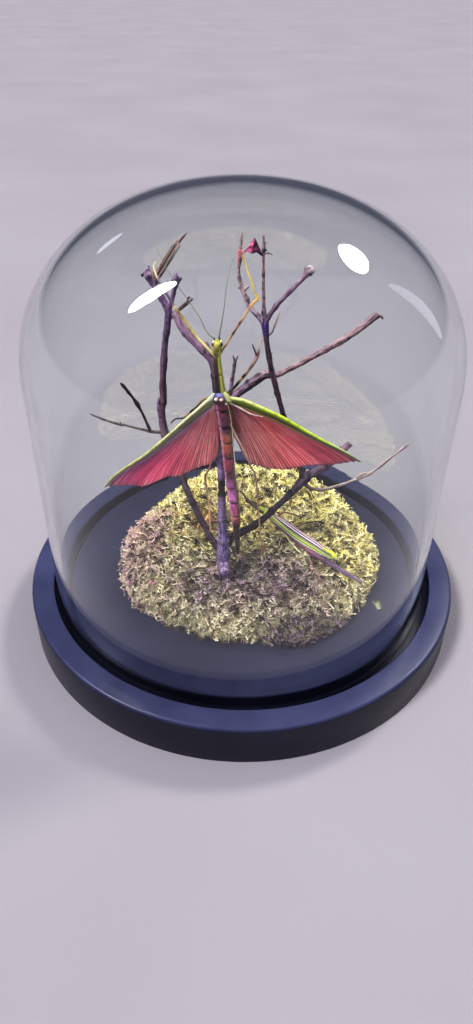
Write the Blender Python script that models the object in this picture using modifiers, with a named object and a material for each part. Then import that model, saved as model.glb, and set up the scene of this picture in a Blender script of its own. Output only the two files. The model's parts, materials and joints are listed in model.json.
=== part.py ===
"""Two mounted insects on dry twigs and a moss cushion, on a turned board under a glass dome.

Run with: blender --background --python part.py

All sizes are millimetres, and MM turns them to metres. The origin is the middle of the board's
underside, +Z is up, and the case is looked at from the -Y side. A path is a list of
(x, y, z, radius) points, from the foot of a twig or the root of a limb to its tip.
"""

import math

import bmesh
import bpy
from mathutils import Matrix, Vector, noise

COLLECTION = "insect_in_glass_dome"
MM = 0.001
GAP = 0.3  # between pieces that touch, or that rest on each other
WELD = 0.001  # points nearer than this are one point

# The turned board and the groove that the glass stands in
BASE_RADIUS = 75.0
BASE_THICKNESS = 15.0
BASE_EDGE = 1.2
GROOVE_INNER = 61.4
GROOVE_OUTER = 67.3
GROOVE_DEPTH = 5.0
BASE_STEPS = 64

# The blown glass dome, which leans against the left side of its groove
DOME_RADIUS = 65.2
DOME_WALL = 2.4
DOME_SHIFT = -0.9
DOME_SHOULDER = 93.0
DOME_TOP = 144.5
DOME_ROUNDNESS = 2.17  # 2 is an ellipse, and more is squarer
DOME_STEPS = 48
DOME_RINGS = 9

# The moss cushion: its outline every 30 degrees from +X, and its top, which falls to the front
MOSS_OUTLINE = (50.0, 48.5, 50.0, 46.0, 43.0, 40.5, 44.0, 46.0, 42.5, 42.0, 48.0, 47.0)
MOSS_FOOT = BASE_THICKNESS + GAP
MOSS_CROWN = 31.0
MOSS_RISE = 0.06
MOSS_FALL = 0.2
MOSS_FALL_FROM = -5.0
MOSS_SQUARENESS = 7.0
MOSS_CLUMP = 11.0
MOSS_LUMP = 1.3
MOSS_COLUMNS = 40
MOSS_RINGS = 14
MOSS_TOP_SHARE = 0.65  # of the rings, those on the top
MOSS_RIM = 0.95  # share of the outline where the top ends
MOSS_RAGGED = 0.04  # share of the outline by which it wanders
BED_HALF_WIDTH = 4.0  # of the flat middle of the small insect's bed
BED_STEEPNESS = 0.12
LEAF_CURL = 0.12
LEAF_THICKNESS = 0.4

# Insect wings
WING_THICKNESS = 0.35
WING_PLEAT = 0.25
WING_ROOT = 0.03

# The large insect's trunk, from the head to the tip of the abdomen, and the small one's
LARGE_TRUNK = [
    (-7.4, -25.0, 112.2, 0.55),
    (-7.4, -25.0, 111.0, 1.2),
    (-7.5, -24.9, 109.0, 1.3),
    (-7.5, -24.8, 107.2, 0.9),
    (-7.4, -24.8, 104.3, 1.15),
    (-7.1, -24.8, 99.8, 1.4),
    (-6.9, -24.8, 96.5, 1.6),
    (-6.8, -24.8, 92.4, 1.75),
    (-6.0, -24.8, 87.6, 1.6),
    (-5.3, -24.8, 81.1, 1.6),
    (-4.2, -24.9, 70.9, 1.55),
    (-3.2, -25.0, 63.8, 1.6),
    (-2.3, -25.0, 55.7, 1.4),
    (-1.7, -25.0, 46.7, 1.05),
    (-1.2, -25.0, 38.5, 0.7),
]
SMALL_TRUNK = [
    (6.2, 9.9, 33.0, 0.45),
    (7.3, 7.5, 33.0, 0.95),
    (8.7, 5.1, 33.0, 0.8),
    (10.4, 2.2, 33.0, 0.9),
    (14.8, -4.0, 33.0, 1.05),
    (20.4, -10.2, 32.4, 1.15),
    (25.0, -14.6, 31.5, 1.15),
    (29.5, -18.1, 30.6, 1.0),
    (34.3, -21.3, 29.4, 0.8),
    (39.5, -23.6, 27.6, 0.45),
]


def finish(name, colour, roughness, metallic=0.0):
    """A Principled material of one colour, given as sRGB hex."""
    material = bpy.data.materials.new(name)
    material.use_nodes = True
    shader = material.node_tree.nodes["Principled BSDF"]
    channels = [int(colour[i : i + 2], 16) / 255 for i in (0, 2, 4)]
    linear = [c / 12.92 if c <= 0.04045 else ((c + 0.055) / 1.055) ** 2.4 for c in channels]
    shader.inputs["Base Color"].default_value = (*linear, 1.0)
    shader.inputs["Roughness"].default_value = roughness
    shader.inputs["Metallic"].default_value = metallic
    return material


def clear_scene():
    for obj in list(bpy.data.objects):
        bpy.data.objects.remove(obj)


def add_object(name, data):
    """Puts new data in the scene as an object of the case's collection."""
    obj = bpy.data.objects.new(name, data)
    if COLLECTION not in bpy.data.collections:
        group = bpy.data.collections.new(COLLECTION)
        bpy.context.scene.collection.children.link(group)
    bpy.data.collections[COLLECTION].objects.link(obj)
    return obj


def add_mesh(name, shape, material):
    """Turns a bmesh in millimetres into a smooth mesh object, and frees it."""
    bmesh.ops.scale(shape, vec=(MM, MM, MM), verts=shape.verts)
    mesh = bpy.data.meshes.new(name)
    shape.to_mesh(mesh)
    shape.free()
    mesh.shade_smooth()
    mesh.set_sharp_from_angle(angle=math.radians(40))
    mesh.materials.append(material)
    return add_object(name, mesh)


def as_mesh(obj):
    """Replaces a curve, or a mesh with modifiers, by one plain mesh object of the same name."""
    bpy.context.view_layer.update()
    graph = bpy.context.evaluated_depsgraph_get()
    mesh = bpy.data.meshes.new_from_object(obj.evaluated_get(graph))
    shape = bmesh.new()
    shape.from_mesh(mesh)
    bmesh.ops.remove_doubles(shape, verts=shape.verts, dist=WELD * MM)
    shape.to_mesh(mesh)
    shape.free()
    name = obj.name
    place = obj.matrix_world.copy()
    bpy.data.objects.remove(obj)
    solid = add_object(name, mesh)
    solid.matrix_world = place
    return solid


def combine(solid, others, operation):
    """Joins the other meshes to a solid, or cuts them out of it, and removes them."""
    for other in others:
        step = solid.modifiers.new("combine", "BOOLEAN")
        step.operation = operation
        step.solver = "EXACT"
        step.object = other
    result = as_mesh(solid)
    for other in others:
        bpy.data.objects.remove(other)
    return result


def turned(name, profile, steps, material):
    """A profile of (radius, height) points turned about +Z, written top to bottom on its outer side."""
    shape = bmesh.new()
    rim = [shape.verts.new((radius, 0.0, height)) for radius, height in profile]
    for upper, lower in zip(rim, rim[1:]):
        shape.edges.new((upper, lower))
    if profile[0][0] > 0:
        shape.edges.new((rim[-1], rim[0]))
    obj = add_mesh(name, shape, material)
    screw = obj.modifiers.new("turn", "SCREW")
    screw.axis = "Z"
    screw.steps = steps
    screw.render_steps = steps
    screw.use_merge_vertices = True
    screw.merge_threshold = WELD * MM
    screw.use_smooth_shade = True
    return obj


def rod(name, path, material, sides=8):
    """A twig or limb: a bevelled polyline with flat ends, as thick at each point as the path says."""
    curve = bpy.data.curves.new(name, "CURVE")
    curve.dimensions = "3D"
    curve.bevel_depth = MM
    curve.bevel_resolution = sides // 2 - 2
    curve.use_fill_caps = True
    spline = curve.splines.new("POLY")
    spline.points.add(len(path) - 1)
    for point, (x, y, z, radius) in zip(spline.points, path):
        point.co = (x * MM, y * MM, z * MM, 1.0)
        point.radius = radius
    curve.materials.append(material)
    return add_object(name, curve)


def branching(name, path, side_paths, material, sides=8):
    """A rod with small side shoots that grew from it, joined into one solid."""
    trunk = as_mesh(rod(name, path, material, sides))
    shoots = [as_mesh(rod(name + "_shoot", side, material, 6)) for side in side_paths]
    return combine(trunk, shoots, "UNION")


def set_off(path, parent_radius, parent_run):
    """Moves the first point, which is on the parent's axis, along the path until the end clears it."""
    x, y, z, radius = path[0]
    run = (Vector(path[1][:3]) - Vector((x, y, z))).normalized()
    along = abs(run.dot(Vector(parent_run).normalized()))
    across = math.sqrt(1.0 - along**2)
    step = (parent_radius + GAP + radius * along) / across
    start = Vector((x, y, z)) + run * step
    return [(*start, radius)] + path[1:]


def ball(name, centre, radii, material, turn=0.0, detail=8):
    """A small ellipsoid, turned about the Y axis by degrees."""
    shape = bmesh.new()
    bmesh.ops.create_uvsphere(shape, u_segments=detail, v_segments=detail // 2 + 2, radius=1.0)
    bmesh.ops.scale(shape, vec=radii, verts=shape.verts)
    rotation = Matrix.Rotation(math.radians(turn), 3, "Y")
    bmesh.ops.rotate(shape, cent=(0, 0, 0), matrix=rotation, verts=shape.verts)
    bmesh.ops.translate(shape, vec=centre, verts=shape.verts)
    return add_mesh(name, shape, material)


# ---------------------------------------------------------------- the case


def make_base():
    """The board: one disc with an eased edge, a ring groove in its top and a flat underside."""
    floor = BASE_THICKNESS - GROOVE_DEPTH
    ease = BASE_EDGE * (1.0 - math.sqrt(0.5))
    profile = [
        (0.0, BASE_THICKNESS),
        (GROOVE_INNER, BASE_THICKNESS),
        (GROOVE_INNER, floor),
        (GROOVE_OUTER, floor),
        (GROOVE_OUTER, BASE_THICKNESS),
        (BASE_RADIUS - BASE_EDGE, BASE_THICKNESS),
        (BASE_RADIUS - ease, BASE_THICKNESS - ease),
        (BASE_RADIUS, BASE_THICKNESS - BASE_EDGE),
        (BASE_RADIUS, BASE_EDGE / 2),
        (BASE_RADIUS - BASE_EDGE / 2, 0.0),
        (0.0, 0.0),
    ]
    turned("base", profile, BASE_STEPS, finish("black_satin_paint", "17161b", 0.35))


def cap(radius, top):
    """The rounded end of the dome from its shoulder to just off its top, as (radius, height) points."""
    points = []
    for ring in range(DOME_RINGS):
        angle = math.pi / 2 * ring / DOME_RINGS
        across = math.cos(angle) ** (2 / DOME_ROUNDNESS)
        rise = math.sin(angle) ** (2 / DOME_ROUNDNESS)
        points.append((radius * across, DOME_SHOULDER + (top - DOME_SHOULDER) * rise))
    return points


def make_dome():
    """The glass: a straight wall and a rounded closed top, one even wall all over, open below."""
    inner = DOME_RADIUS - DOME_WALL
    rim = BASE_THICKNESS - GROOVE_DEPTH + GAP
    round_rim = DOME_WALL / 4
    outside = [(0.0, DOME_TOP)] + cap(DOME_RADIUS, DOME_TOP)[::-1]
    foot = [
        (DOME_RADIUS, rim + round_rim),
        (DOME_RADIUS - round_rim, rim),
        (inner + round_rim, rim),
        (inner, rim + round_rim),
    ]
    inside = cap(inner, DOME_TOP - DOME_WALL) + [(0.0, DOME_TOP - DOME_WALL)]
    dome = turned("glass_dome", outside + foot + inside, DOME_STEPS, finish("clear_glass", "eef4f2", 0.02))
    dome.location.x = DOME_SHIFT * MM


# ---------------------------------------------------------------- moss


def moss_reach(angle):
    """The cushion's radius in a direction, eased between the measured ones."""
    place = angle / (2 * math.pi) * len(MOSS_OUTLINE) % len(MOSS_OUTLINE)
    before = int(place)
    after = (before + 1) % len(MOSS_OUTLINE)
    ease = (1.0 - math.cos(math.pi * (place - before))) / 2
    return MOSS_OUTLINE[before] * (1.0 - ease) + MOSS_OUTLINE[after] * ease


def bed_height(x, y):
    """How high the moss may stand by the small insect, which lies in a shallow bed in it."""
    lowest = MOSS_CROWN + MOSS_LUMP
    for (ax, ay, az, radius), (bx, by, bz, _) in zip(SMALL_TRUNK, SMALL_TRUNK[1:]):
        run = Vector((bx - ax, by - ay))
        share = (Vector((x - ax, y - ay)).dot(run)) / run.length_squared
        share = min(1.0, max(0.0, share))
        aside = (Vector((x, y)) - Vector((ax, ay)) - run * share).length
        underside = az + (bz - az) * share - radius - 2 * GAP
        lowest = min(lowest, underside + BED_STEEPNESS * max(0.0, aside - BED_HALF_WIDTH) ** 2)
    return lowest


def moss_top(x, y, share):
    """The height of the moss where its place is that share of the way to the outline."""
    crown = MOSS_CROWN + MOSS_RISE * max(0.0, y) - MOSS_FALL * max(0.0, MOSS_FALL_FROM - y)
    crown += MOSS_LUMP * noise.noise(Vector((x, y, 0.0)) / MOSS_CLUMP)
    fullness = math.sqrt(1.0 - share**MOSS_SQUARENESS)
    return min(MOSS_FOOT + (crown - MOSS_FOOT) * fullness, bed_height(x, y))


def moss_point(direction):
    """Where a point of a unit sphere lies on the cushion: its top, its steep side or its flat foot."""
    angle = math.atan2(direction.y, direction.x)
    ring = math.acos(max(-1.0, min(1.0, direction.z))) / math.pi
    side = max(0.0, ring - MOSS_TOP_SHARE) / (1.0 - 1.0 / MOSS_RINGS - MOSS_TOP_SHARE)
    if side > 1.01:
        return Vector((0.0, 0.0, MOSS_FOOT))
    share = MOSS_RIM * min(1.0, ring / MOSS_TOP_SHARE) + (1 - MOSS_RIM) * math.sin(math.pi * side)
    ragged = 1.0 + MOSS_RAGGED * noise.noise(Vector((math.cos(angle), math.sin(angle), ring)) * 4.0)
    reach = moss_reach(angle) * share * ragged
    x = reach * math.cos(angle)
    y = reach * math.sin(angle)
    top = moss_top(x, y, min(share, MOSS_RIM))
    return Vector((x, y, top + (MOSS_FOOT - top) * min(1.0, side)))


def socket(path, material):
    """A cutter for the hole that a twig's foot stands in, a gap wider than the twig all round."""
    x, y, z, radius = path[0]
    wide = [(x, y, z - GAP, radius + GAP)] + [(x, y, z, r + GAP) for x, y, z, r in path[1:4]]
    return as_mesh(rod("socket", wide, material))


def make_moss():
    """One thick pad of dried moss with a socket for the stump, and a crumb of it that fell off."""
    moss = finish("dried_moss", "7d7858", 0.9)
    shape = bmesh.new()
    bmesh.ops.create_uvsphere(shape, u_segments=MOSS_COLUMNS, v_segments=MOSS_RINGS, radius=1.0)
    for vertex in shape.verts:
        vertex.co = moss_point(vertex.co)
    cushion = add_mesh("moss_cushion", shape, moss)
    combine(cushion, [socket(STEM, moss)], "DIFFERENCE")
    crumb = ball("moss_crumb", (0, 0, 0), (2.4, 1.1, 0.9), moss)
    crumb.rotation_euler.z = math.radians(-64)
    crumb.location = Vector((46.0, -21.5, BASE_THICKNESS + GAP + 0.9)) * MM


# ---------------------------------------------------------------- twigs

# The thick stump in the moss and the stem above it
STEM = [
    (-6.2, -21.4, 22.0, 1.3),
    (-6.0, -21.4, 27.0, 1.5),
    (-6.0, -21.4, 33.2, 2.2),
    (-6.0, -21.4, 39.6, 2.3),
    (-6.2, -21.4, 45.7, 1.4),
    (-6.4, -21.5, 55.7, 1.2),
    (-6.7, -21.5, 68.7, 1.2),
    (-7.4, -21.5, 89.0, 1.15),
    (-8.0, -21.5, 97.0, 1.15),
    (-8.8, -21.2, 103.7, 1.2),
    (-11.0, -20.8, 106.4, 1.2),
    (-13.6, -20.5, 109.0, 1.1),
    (-16.5, -20.0, 112.1, 1.05),
    (-19.1, -19.0, 116.4, 0.95),
]
STUMP_RADIUS = 2.3
UPWARD = (0.0, 0.0, 1.0)
RIGHT_NODE_RUN = (3.5, 2.0, 2.0)  # the way the right twig runs where two more stand on it


def make_stem(bark):
    """The stump and the upright twig that the large insect clings to, with a bud where it bends."""
    bud = [(-9.3, -21.2, 104.5, 0.6), (-10.1, -21.5, 108.1, 0.5), (-10.4, -21.5, 109.4, 0.45)]
    cut_stub = [(-5.8, -21.6, 35.1, 1.3), (-5.9, -25.0, 31.4, 1.15)]
    branching("main_stem", STEM, [bud, cut_stub], bark)


def make_left_twig(bark, pale_bark):
    """The twig that rises behind the large insect's left wing, and what grows from it."""
    twig = [
        (-6.0, -21.4, 37.5, 1.1),
        (-9.2, -18.5, 39.2, 1.2),
        (-11.2, -16.5, 41.6, 1.2),
        (-13.2, -14.5, 44.5, 1.2),
        (-16.9, -11.0, 51.0, 1.2),
        (-20.1, -8.5, 57.9, 1.2),
        (-22.9, -6.5, 64.5, 1.2),
        (-25.2, -4.5, 71.1, 1.25),
        (-25.8, -3.7, 77.1, 1.05),
        (-25.2, -3.2, 82.1, 1.0),
        (-24.9, -2.6, 90.3, 0.95),
        (-23.9, -2.0, 99.7, 0.95),
        (-22.7, -1.5, 107.3, 0.95),
        (-22.6, -1.0, 110.7, 1.1),
        (-23.7, -0.7, 112.5, 0.95),
        (-25.6, -0.2, 115.8, 0.85),
        (-27.2, 0.3, 118.3, 0.9),
        (-27.8, 0.5, 119.8, 1.2),
        (-27.8, 0.8, 121.0, 0.9),
        (-27.6, 1.0, 121.8, 0.4),
    ]
    peel = [(-26.1, -3.7, 77.4, 0.55), (-27.0, -4.0, 80.4, 0.5), (-27.1, -4.2, 83.1, 0.35)]
    thorn = [(-27.8, 0.5, 119.8, 0.6), (-29.6, 0.5, 119.6, 0.4)]
    branching("left_twig", set_off(twig, STUMP_RADIUS, UPWARD), [peel, thorn], bark)
    fork = [
        (-22.3, -1.0, 110.7, 0.7),
        (-21.2, -1.0, 113.4, 0.6),
        (-20.5, -1.0, 116.0, 0.65),
        (-20.0, -1.0, 118.6, 1.0),
        (-19.8, -1.0, 120.3, 0.5),
    ]
    rod("left_twig_right_fork", set_off(fork, 1.0, (-0.5, 0.1, 0.9)), bark)
    spur = [(-22.7, -1.6, 107.6, 0.45), (-19.1, -1.3, 110.6, 0.4), (-15.4, -0.5, 113.4, 0.3)]
    rod("left_twig_spur", set_off(spur, 1.05, UPWARD), bark, 6)
    peeled = [
        (-25.4, -0.1, 118.7, 0.4),
        (-24.8, -0.6, 120.9, 0.5),
        (-23.5, -0.8, 122.6, 0.45),
        (-22.0, -0.4, 124.7, 0.45),
        (-19.2, 0.4, 128.7, 0.55),
        (-16.9, 1.0, 130.7, 0.4),
    ]
    rod("peeled_twig", peeled, pale_bark, 6)
    thin = [
        (-25.2, -4.5, 71.3, 0.4),
        (-30.0, -3.2, 70.6, 0.55),
        (-34.9, -2.0, 71.0, 0.35),
        (-39.4, -1.0, 71.5, 0.5),
        (-44.6, 0.0, 72.4, 0.35),
        (-49.8, 1.0, 74.0, 0.3),
    ]
    rod("left_thin_shoot", set_off(thin, 1.25, UPWARD), bark, 6)
    upper = [
        (-29.9, -3.2, 70.9, 0.4),
        (-31.9, -5.2, 78.8, 0.4),
        (-33.0, -5.8, 81.9, 0.6),
        (-35.2, -7.0, 86.6, 0.4),
        (-36.9, -8.0, 89.8, 0.35),
    ]
    rod("left_thin_shoot_upper", set_off(upper, 0.6, (-1.0, 0.2, 0.0)), bark, 6)


def make_crossing_branch(bark, pale_bark):
    """The long branch that leaves the left twig behind the wing, and the short shoot on it."""
    branch = [
        (-23.4, -6.1, 65.9, 1.15),
        (-14.0, -2.0, 73.5, 1.2),
        (-2.1, 1.0, 82.7, 1.3),
        (0.6, 2.2, 84.4, 1.35),
        (3.4, 3.0, 86.3, 1.45),
        (5.9, 4.0, 87.7, 1.4),
        (8.1, 5.0, 87.5, 1.2),
        (10.0, 5.8, 86.9, 0.85),
        (17.2, 8.2, 89.8, 0.85),
        (23.3, 9.8, 92.8, 0.95),
        (29.5, 11.4, 95.9, 1.05),
        (35.5, 13.1, 99.8, 1.2),
        (40.6, 14.5, 103.6, 1.1),
    ]
    hook = [(40.0, 14.3, 103.0, 0.6), (42.6, 14.8, 102.5, 0.4)]
    start = set_off(branch, 1.25, (-2.3, 2.0, 6.6))
    branching("crossing_branch", start, [hook], pale_bark)
    shoot = [
        (-4.6, 0.5, 81.4, 0.6),
        (-4.0, 0.0, 87.7, 0.55),
        (-3.4, -0.5, 91.9, 0.45),
        (-3.0, -0.8, 94.4, 0.35),
        (-2.4, -1.0, 96.0, 0.2),
    ]
    tooth = [(-3.1, -0.7, 93.9, 0.3), (-3.6, -1.0, 96.0, 0.2)]
    branching("forked_shoot", set_off(shoot, 1.25, (11.5, 3.0, 9.6)), [tooth], bark, 6)


def make_right_twig(bark, pale_bark):
    """The thick twig that leaves the stump to the right, with its thin branch."""
    twig = [
        (-6.0, -21.4, 39.2, 1.3),
        (-3.6, -18.5, 41.1, 1.3),
        (-0.8, -16.5, 41.6, 1.25),
        (2.5, -14.3, 42.1, 1.25),
        (5.1, -12.6, 42.9, 1.25),
        (7.7, -11.0, 44.2, 1.2),
        (9.7, -9.6, 45.5, 1.15),
        (12.6, -7.9, 47.8, 1.15),
        (18.2, -4.3, 51.9, 1.3),
        (20.0, -3.0, 53.4, 1.5),
        (22.8, -2.0, 54.6, 1.2),
        (28.7, 0.0, 57.2, 1.1),
        (33.2, 1.5, 62.2, 1.1),
        (35.2, 2.3, 63.9, 1.05),
    ]
    rod("right_twig", set_off(twig, STUMP_RADIUS, UPWARD), bark)
    thin = [
        (20.0, -3.0, 53.4, 0.5),
        (23.0, -1.8, 49.4, 0.5),
        (26.5, -0.5, 48.2, 0.5),
        (33.5, 2.0, 48.4, 0.45),
        (39.7, 4.2, 49.7, 0.55),
        (43.2, 5.1, 51.0, 0.45),
        (49.0, 6.5, 54.6, 0.4),
        (57.0, 8.0, 60.2, 0.3),
    ]
    rod("right_thin_branch", set_off(thin, 1.45, RIGHT_NODE_RUN), pale_bark, 6)


def make_upright_twig(bark, pale_bark):
    """The straight twig standing on the right one, which parts in three at its top."""
    trunk = [
        (20.0, -3.0, 53.4, 0.95),
        (18.6, -3.3, 58.8, 0.9),
        (14.9, -4.0, 70.1, 0.9),
        (12.3, -5.0, 77.8, 0.85),
        (10.0, -6.0, 85.9, 0.85),
        (7.9, -7.0, 94.3, 0.85),
        (6.4, -8.2, 103.0, 0.85),
        (5.3, -9.0, 109.9, 1.0),
        (4.8, -9.2, 115.5, 0.75),
        (4.5, -9.6, 122.3, 0.6),
        (4.3, -9.8, 129.0, 0.4),
        (4.2, -10.0, 133.9, 0.35),
    ]
    rod("upright_twig", set_off(trunk, 1.45, RIGHT_NODE_RUN), bark)
    left = [
        (5.4, -9.0, 109.8, 0.65),
        (1.0, -8.9, 114.3, 0.65),
        (-1.0, -8.6, 118.8, 0.6),
        (-2.2, -8.4, 122.6, 0.45),
        (-2.0, -8.2, 127.6, 0.4),
        (-1.5, -8.0, 133.6, 0.3),
    ]
    bud = [(-1.0, -8.6, 118.8, 0.45), (0.4, -8.8, 120.0, 0.35)]
    branching("upright_twig_left_fork", set_off(left, 1.15, UPWARD), [bud], pale_bark, 6)
    right = [
        (5.3, -9.0, 110.8, 0.6),
        (10.0, -7.9, 116.6, 0.6),
        (14.5, -6.8, 121.6, 0.65),
        (16.8, -6.2, 124.5, 0.8),
        (17.5, -6.0, 125.1, 1.05),
        (18.2, -6.0, 125.4, 0.5),
    ]
    rod("upright_twig_right_fork", set_off(right, 1.0, UPWARD), bark, 6)


def make_leaf(red_leaf):
    """A dried leaf folded into a small triangle, held out from the tip of the middle shoot."""
    corners = [(1.9, -10.4, 134.3), (0.0, -10.2, 130.0), (3.8, -11.0, 129.5)]
    shape = bmesh.new()
    shape.faces.new([shape.verts.new(corner) for corner in corners])
    bmesh.ops.subdivide_edges(shape, edges=shape.edges, cuts=2, use_grid_fill=True)
    middle = sum((Vector(corner) for corner in corners), Vector()) / len(corners)
    for vertex in shape.verts:
        vertex.co.y -= LEAF_CURL * (vertex.co - middle).length ** 2
    leaf = add_mesh("dried_leaf", shape, red_leaf)
    thicken(leaf, LEAF_THICKNESS)


# ---------------------------------------------------------------- insects


def thicken(sheet, thickness):
    """Gives an open sheet its thickness, half to each side."""
    solidify = sheet.modifiers.new("thickness", "SOLIDIFY")
    solidify.thickness = thickness * MM
    solidify.offset = 0.0
    solidify.use_even_offset = False


def along(points, share):
    """The place at a share of the length of a polyline."""
    runs = [(Vector(b) - Vector(a)).length for a, b in zip(points, points[1:])]
    left = share * sum(runs)
    for start, end, run in zip(points, points[1:], runs):
        if left <= run:
            return Vector(start).lerp(Vector(end), left / run)
        left -= run
    return Vector(points[-1])


def make_wing(name, leading, trailing, ribs, rings, material):
    """A pleated fan. Its ribs run from the root to the trailing edge, which starts at the wing's tip."""
    root = Vector(leading[0])
    tip = Vector(leading[-1])
    shape = bmesh.new()
    bmesh.ops.create_grid(shape, x_segments=ribs, y_segments=rings, size=1.0)
    for vertex in shape.verts:
        across = (vertex.co.x + 1.0) / 2
        out = WING_ROOT + (1.0 - WING_ROOT) * (vertex.co.y + 1.0) / 2
        bow = along(leading, out) - root.lerp(tip, out)
        place = root.lerp(along([tip] + trailing, across), out) + bow * (1.0 - across) ** 2
        pleat = WING_PLEAT * out * (-1.0) ** round(across * ribs)
        vertex.co = place + Vector((0.0, pleat, 0.0))
    wing = add_mesh(name, shape, material)
    thicken(wing, WING_THICKNESS)


def limbs(name, paths, material):
    return [as_mesh(rod(f"{name}_limb", path, material, 6)) for path in paths]


def make_large_insect(body, wing):
    """The large insect: head, legs, feelers and forewing pads grown on one trunk, and two hind wings."""
    left_feeler = [
        (-8.0, -25.0, 111.4, 0.3),
        (-9.4, -24.5, 112.2, 0.25),
        (-12.2, -20.0, 115.6, 0.22),
        (-15.2, -14.0, 117.3, 0.2),
        (-18.5, -11.0, 120.8, 0.2),
        (-21.5, -7.0, 123.7, 0.2),
        (-23.8, -4.0, 126.8, 0.2),
        (-27.2, 5.0, 131.6, 0.2),
        (-31.4, 14.0, 134.8, 0.18),
    ]
    right_feeler = [
        (-7.0, -25.0, 111.4, 0.3),
        (-5.8, -22.0, 118.6, 0.25),
        (-4.9, -18.0, 125.1, 0.2),
        (-2.5, -12.0, 130.9, 0.2),
        (2.6, -1.0, 136.2, 0.18),
    ]
    right_fore = [
        (-7.2, -24.6, 106.9, 0.45),
        (-3.4, -22.0, 112.1, 0.4),
        (0.9, -18.0, 117.7, 0.4),
        (2.8, -16.0, 119.3, 0.45),
        (1.4, -15.5, 123.0, 0.35),
        (0.1, -15.0, 126.2, 0.3),
        (-1.5, -14.3, 130.6, 0.3),
        (-2.3, -14.3, 130.1, 0.25),
        (-2.4, -14.5, 127.1, 0.2),
    ]
    left_fore = [
        (-7.8, -24.6, 106.5, 0.45),
        (-12.6, -23.4, 111.4, 0.4),
        (-15.9, -22.8, 115.8, 0.4),
        (-18.4, -22.0, 118.9, 0.45),
        (-21.1, -18.0, 121.4, 0.35),
        (-24.2, -11.0, 123.9, 0.3),
        (-24.7, -10.0, 125.4, 0.25),
        (-24.2, -9.5, 126.4, 0.2),
    ]
    right_mid = [
        (-6.6, -24.2, 95.0, 0.45),
        (-3.6, -21.8, 95.6, 0.4),
        (1.0, -17.0, 99.4, 0.4),
        (3.2, -13.0, 101.5, 0.5),
        (4.4, -5.0, 102.8, 0.3),
        (7.6, -2.0, 104.3, 0.3),
        (9.8, 2.0, 109.2, 0.25),
    ]
    right_mid_spur = [(3.3, -13.0, 101.5, 0.35), (1.8, -12.5, 104.9, 0.2)]
    left_mid = [
        (-7.8, -24.2, 94.8, 0.45),
        (-11.1, -21.8, 92.6, 0.4),
        (-13.9, -19.0, 88.3, 0.4),
        (-15.5, -17.6, 86.1, 0.45),
        (-17.8, -16.0, 83.1, 0.35),
        (-20.3, -14.5, 81.9, 0.3),
        (-22.0, -13.0, 79.5, 0.25),
    ]
    right_hind = [
        (-5.6, -24.2, 87.0, 0.45),
        (-3.2, -22.0, 82.5, 0.45),
        (2.8, -18.0, 66.9, 0.5),
        (4.3, -16.0, 59.7, 0.35),
        (5.0, -15.4, 50.3, 0.3),
        (5.7, -15.6, 43.1, 0.3),
        (7.1, -15.2, 31.4, 0.25),
    ]
    left_hind = [
        (-6.8, -24.2, 87.0, 0.45),
        (-9.0, -22.8, 77.5, 0.4),
        (-10.5, -19.0, 69.5, 0.45),
        (-11.9, -15.8, 61.8, 0.4),
        (-10.9, -16.9, 55.4, 0.3),
        (-10.4, -17.8, 48.9, 0.3),
        (-10.4, -18.2, 42.7, 0.25),
    ]
    legs = [right_fore, left_fore, right_mid, right_mid_spur, left_mid, right_hind, left_hind]
    eyes = [
        ball("eye", (-8.6, -25.2, 110.9), (0.45, 0.5, 0.6), body, detail=6),
        ball("eye", (-6.2, -25.2, 110.9), (0.45, 0.5, 0.6), body, detail=6),
    ]
    pads = [
        ball("pad", (-8.9, -25.9, 94.9), (1.2, 0.6, 2.7), body, turn=25),
        ball("pad", (-5.1, -25.9, 95.3), (1.2, 0.6, 2.4), body, turn=-40),
    ]
    trunk = as_mesh(rod("large_insect_body", LARGE_TRUNK, body, 10))
    combine(trunk, limbs("large", [left_feeler, right_feeler] + legs, body) + eyes + pads, "UNION")
    left_leading = [
        (-9.6, -24.6, 94.4),
        (-13.0, -24.2, 90.6),
        (-17.1, -23.8, 86.4),
        (-23.8, -22.8, 79.2),
        (-30.8, -21.8, 72.4),
        (-38.2, -20.8, 66.8),
        (-42.8, -20.2, 61.1),
    ]
    left_trailing = [
        (-34.3, -21.0, 62.1),
        (-29.9, -21.5, 62.7),
        (-23.6, -22.4, 66.5),
        (-19.9, -22.9, 67.1),
        (-15.0, -23.6, 69.5),
        (-12.3, -24.1, 71.1),
        (-9.6, -24.4, 73.3),
        (-8.1, -24.6, 76.5),
        (-8.3, -24.7, 84.0),
    ]
    make_wing("large_insect_left_wing", left_leading, left_trailing, 14, 4, wing)
    right_leading = [
        (-4.3, -24.4, 94.4),
        (-1.3, -24.2, 93.9),
        (1.5, -24.0, 92.8),
        (4.3, -23.7, 91.3),
        (11.2, -23.1, 87.6),
        (20.2, -22.0, 81.4),
        (29.5, -20.8, 75.6),
        (35.1, -20.0, 71.4),
    ]
    right_trailing = [
        (27.0, -20.9, 70.4),
        (19.8, -21.8, 70.8),
        (11.5, -22.9, 70.2),
        (5.5, -23.6, 71.2),
        (1.3, -24.1, 73.6),
        (-1.1, -24.4, 78.9),
        (-3.4, -24.7, 85.0),
    ]
    make_wing("large_insect_right_wing", right_leading, right_trailing, 14, 4, wing)


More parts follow.
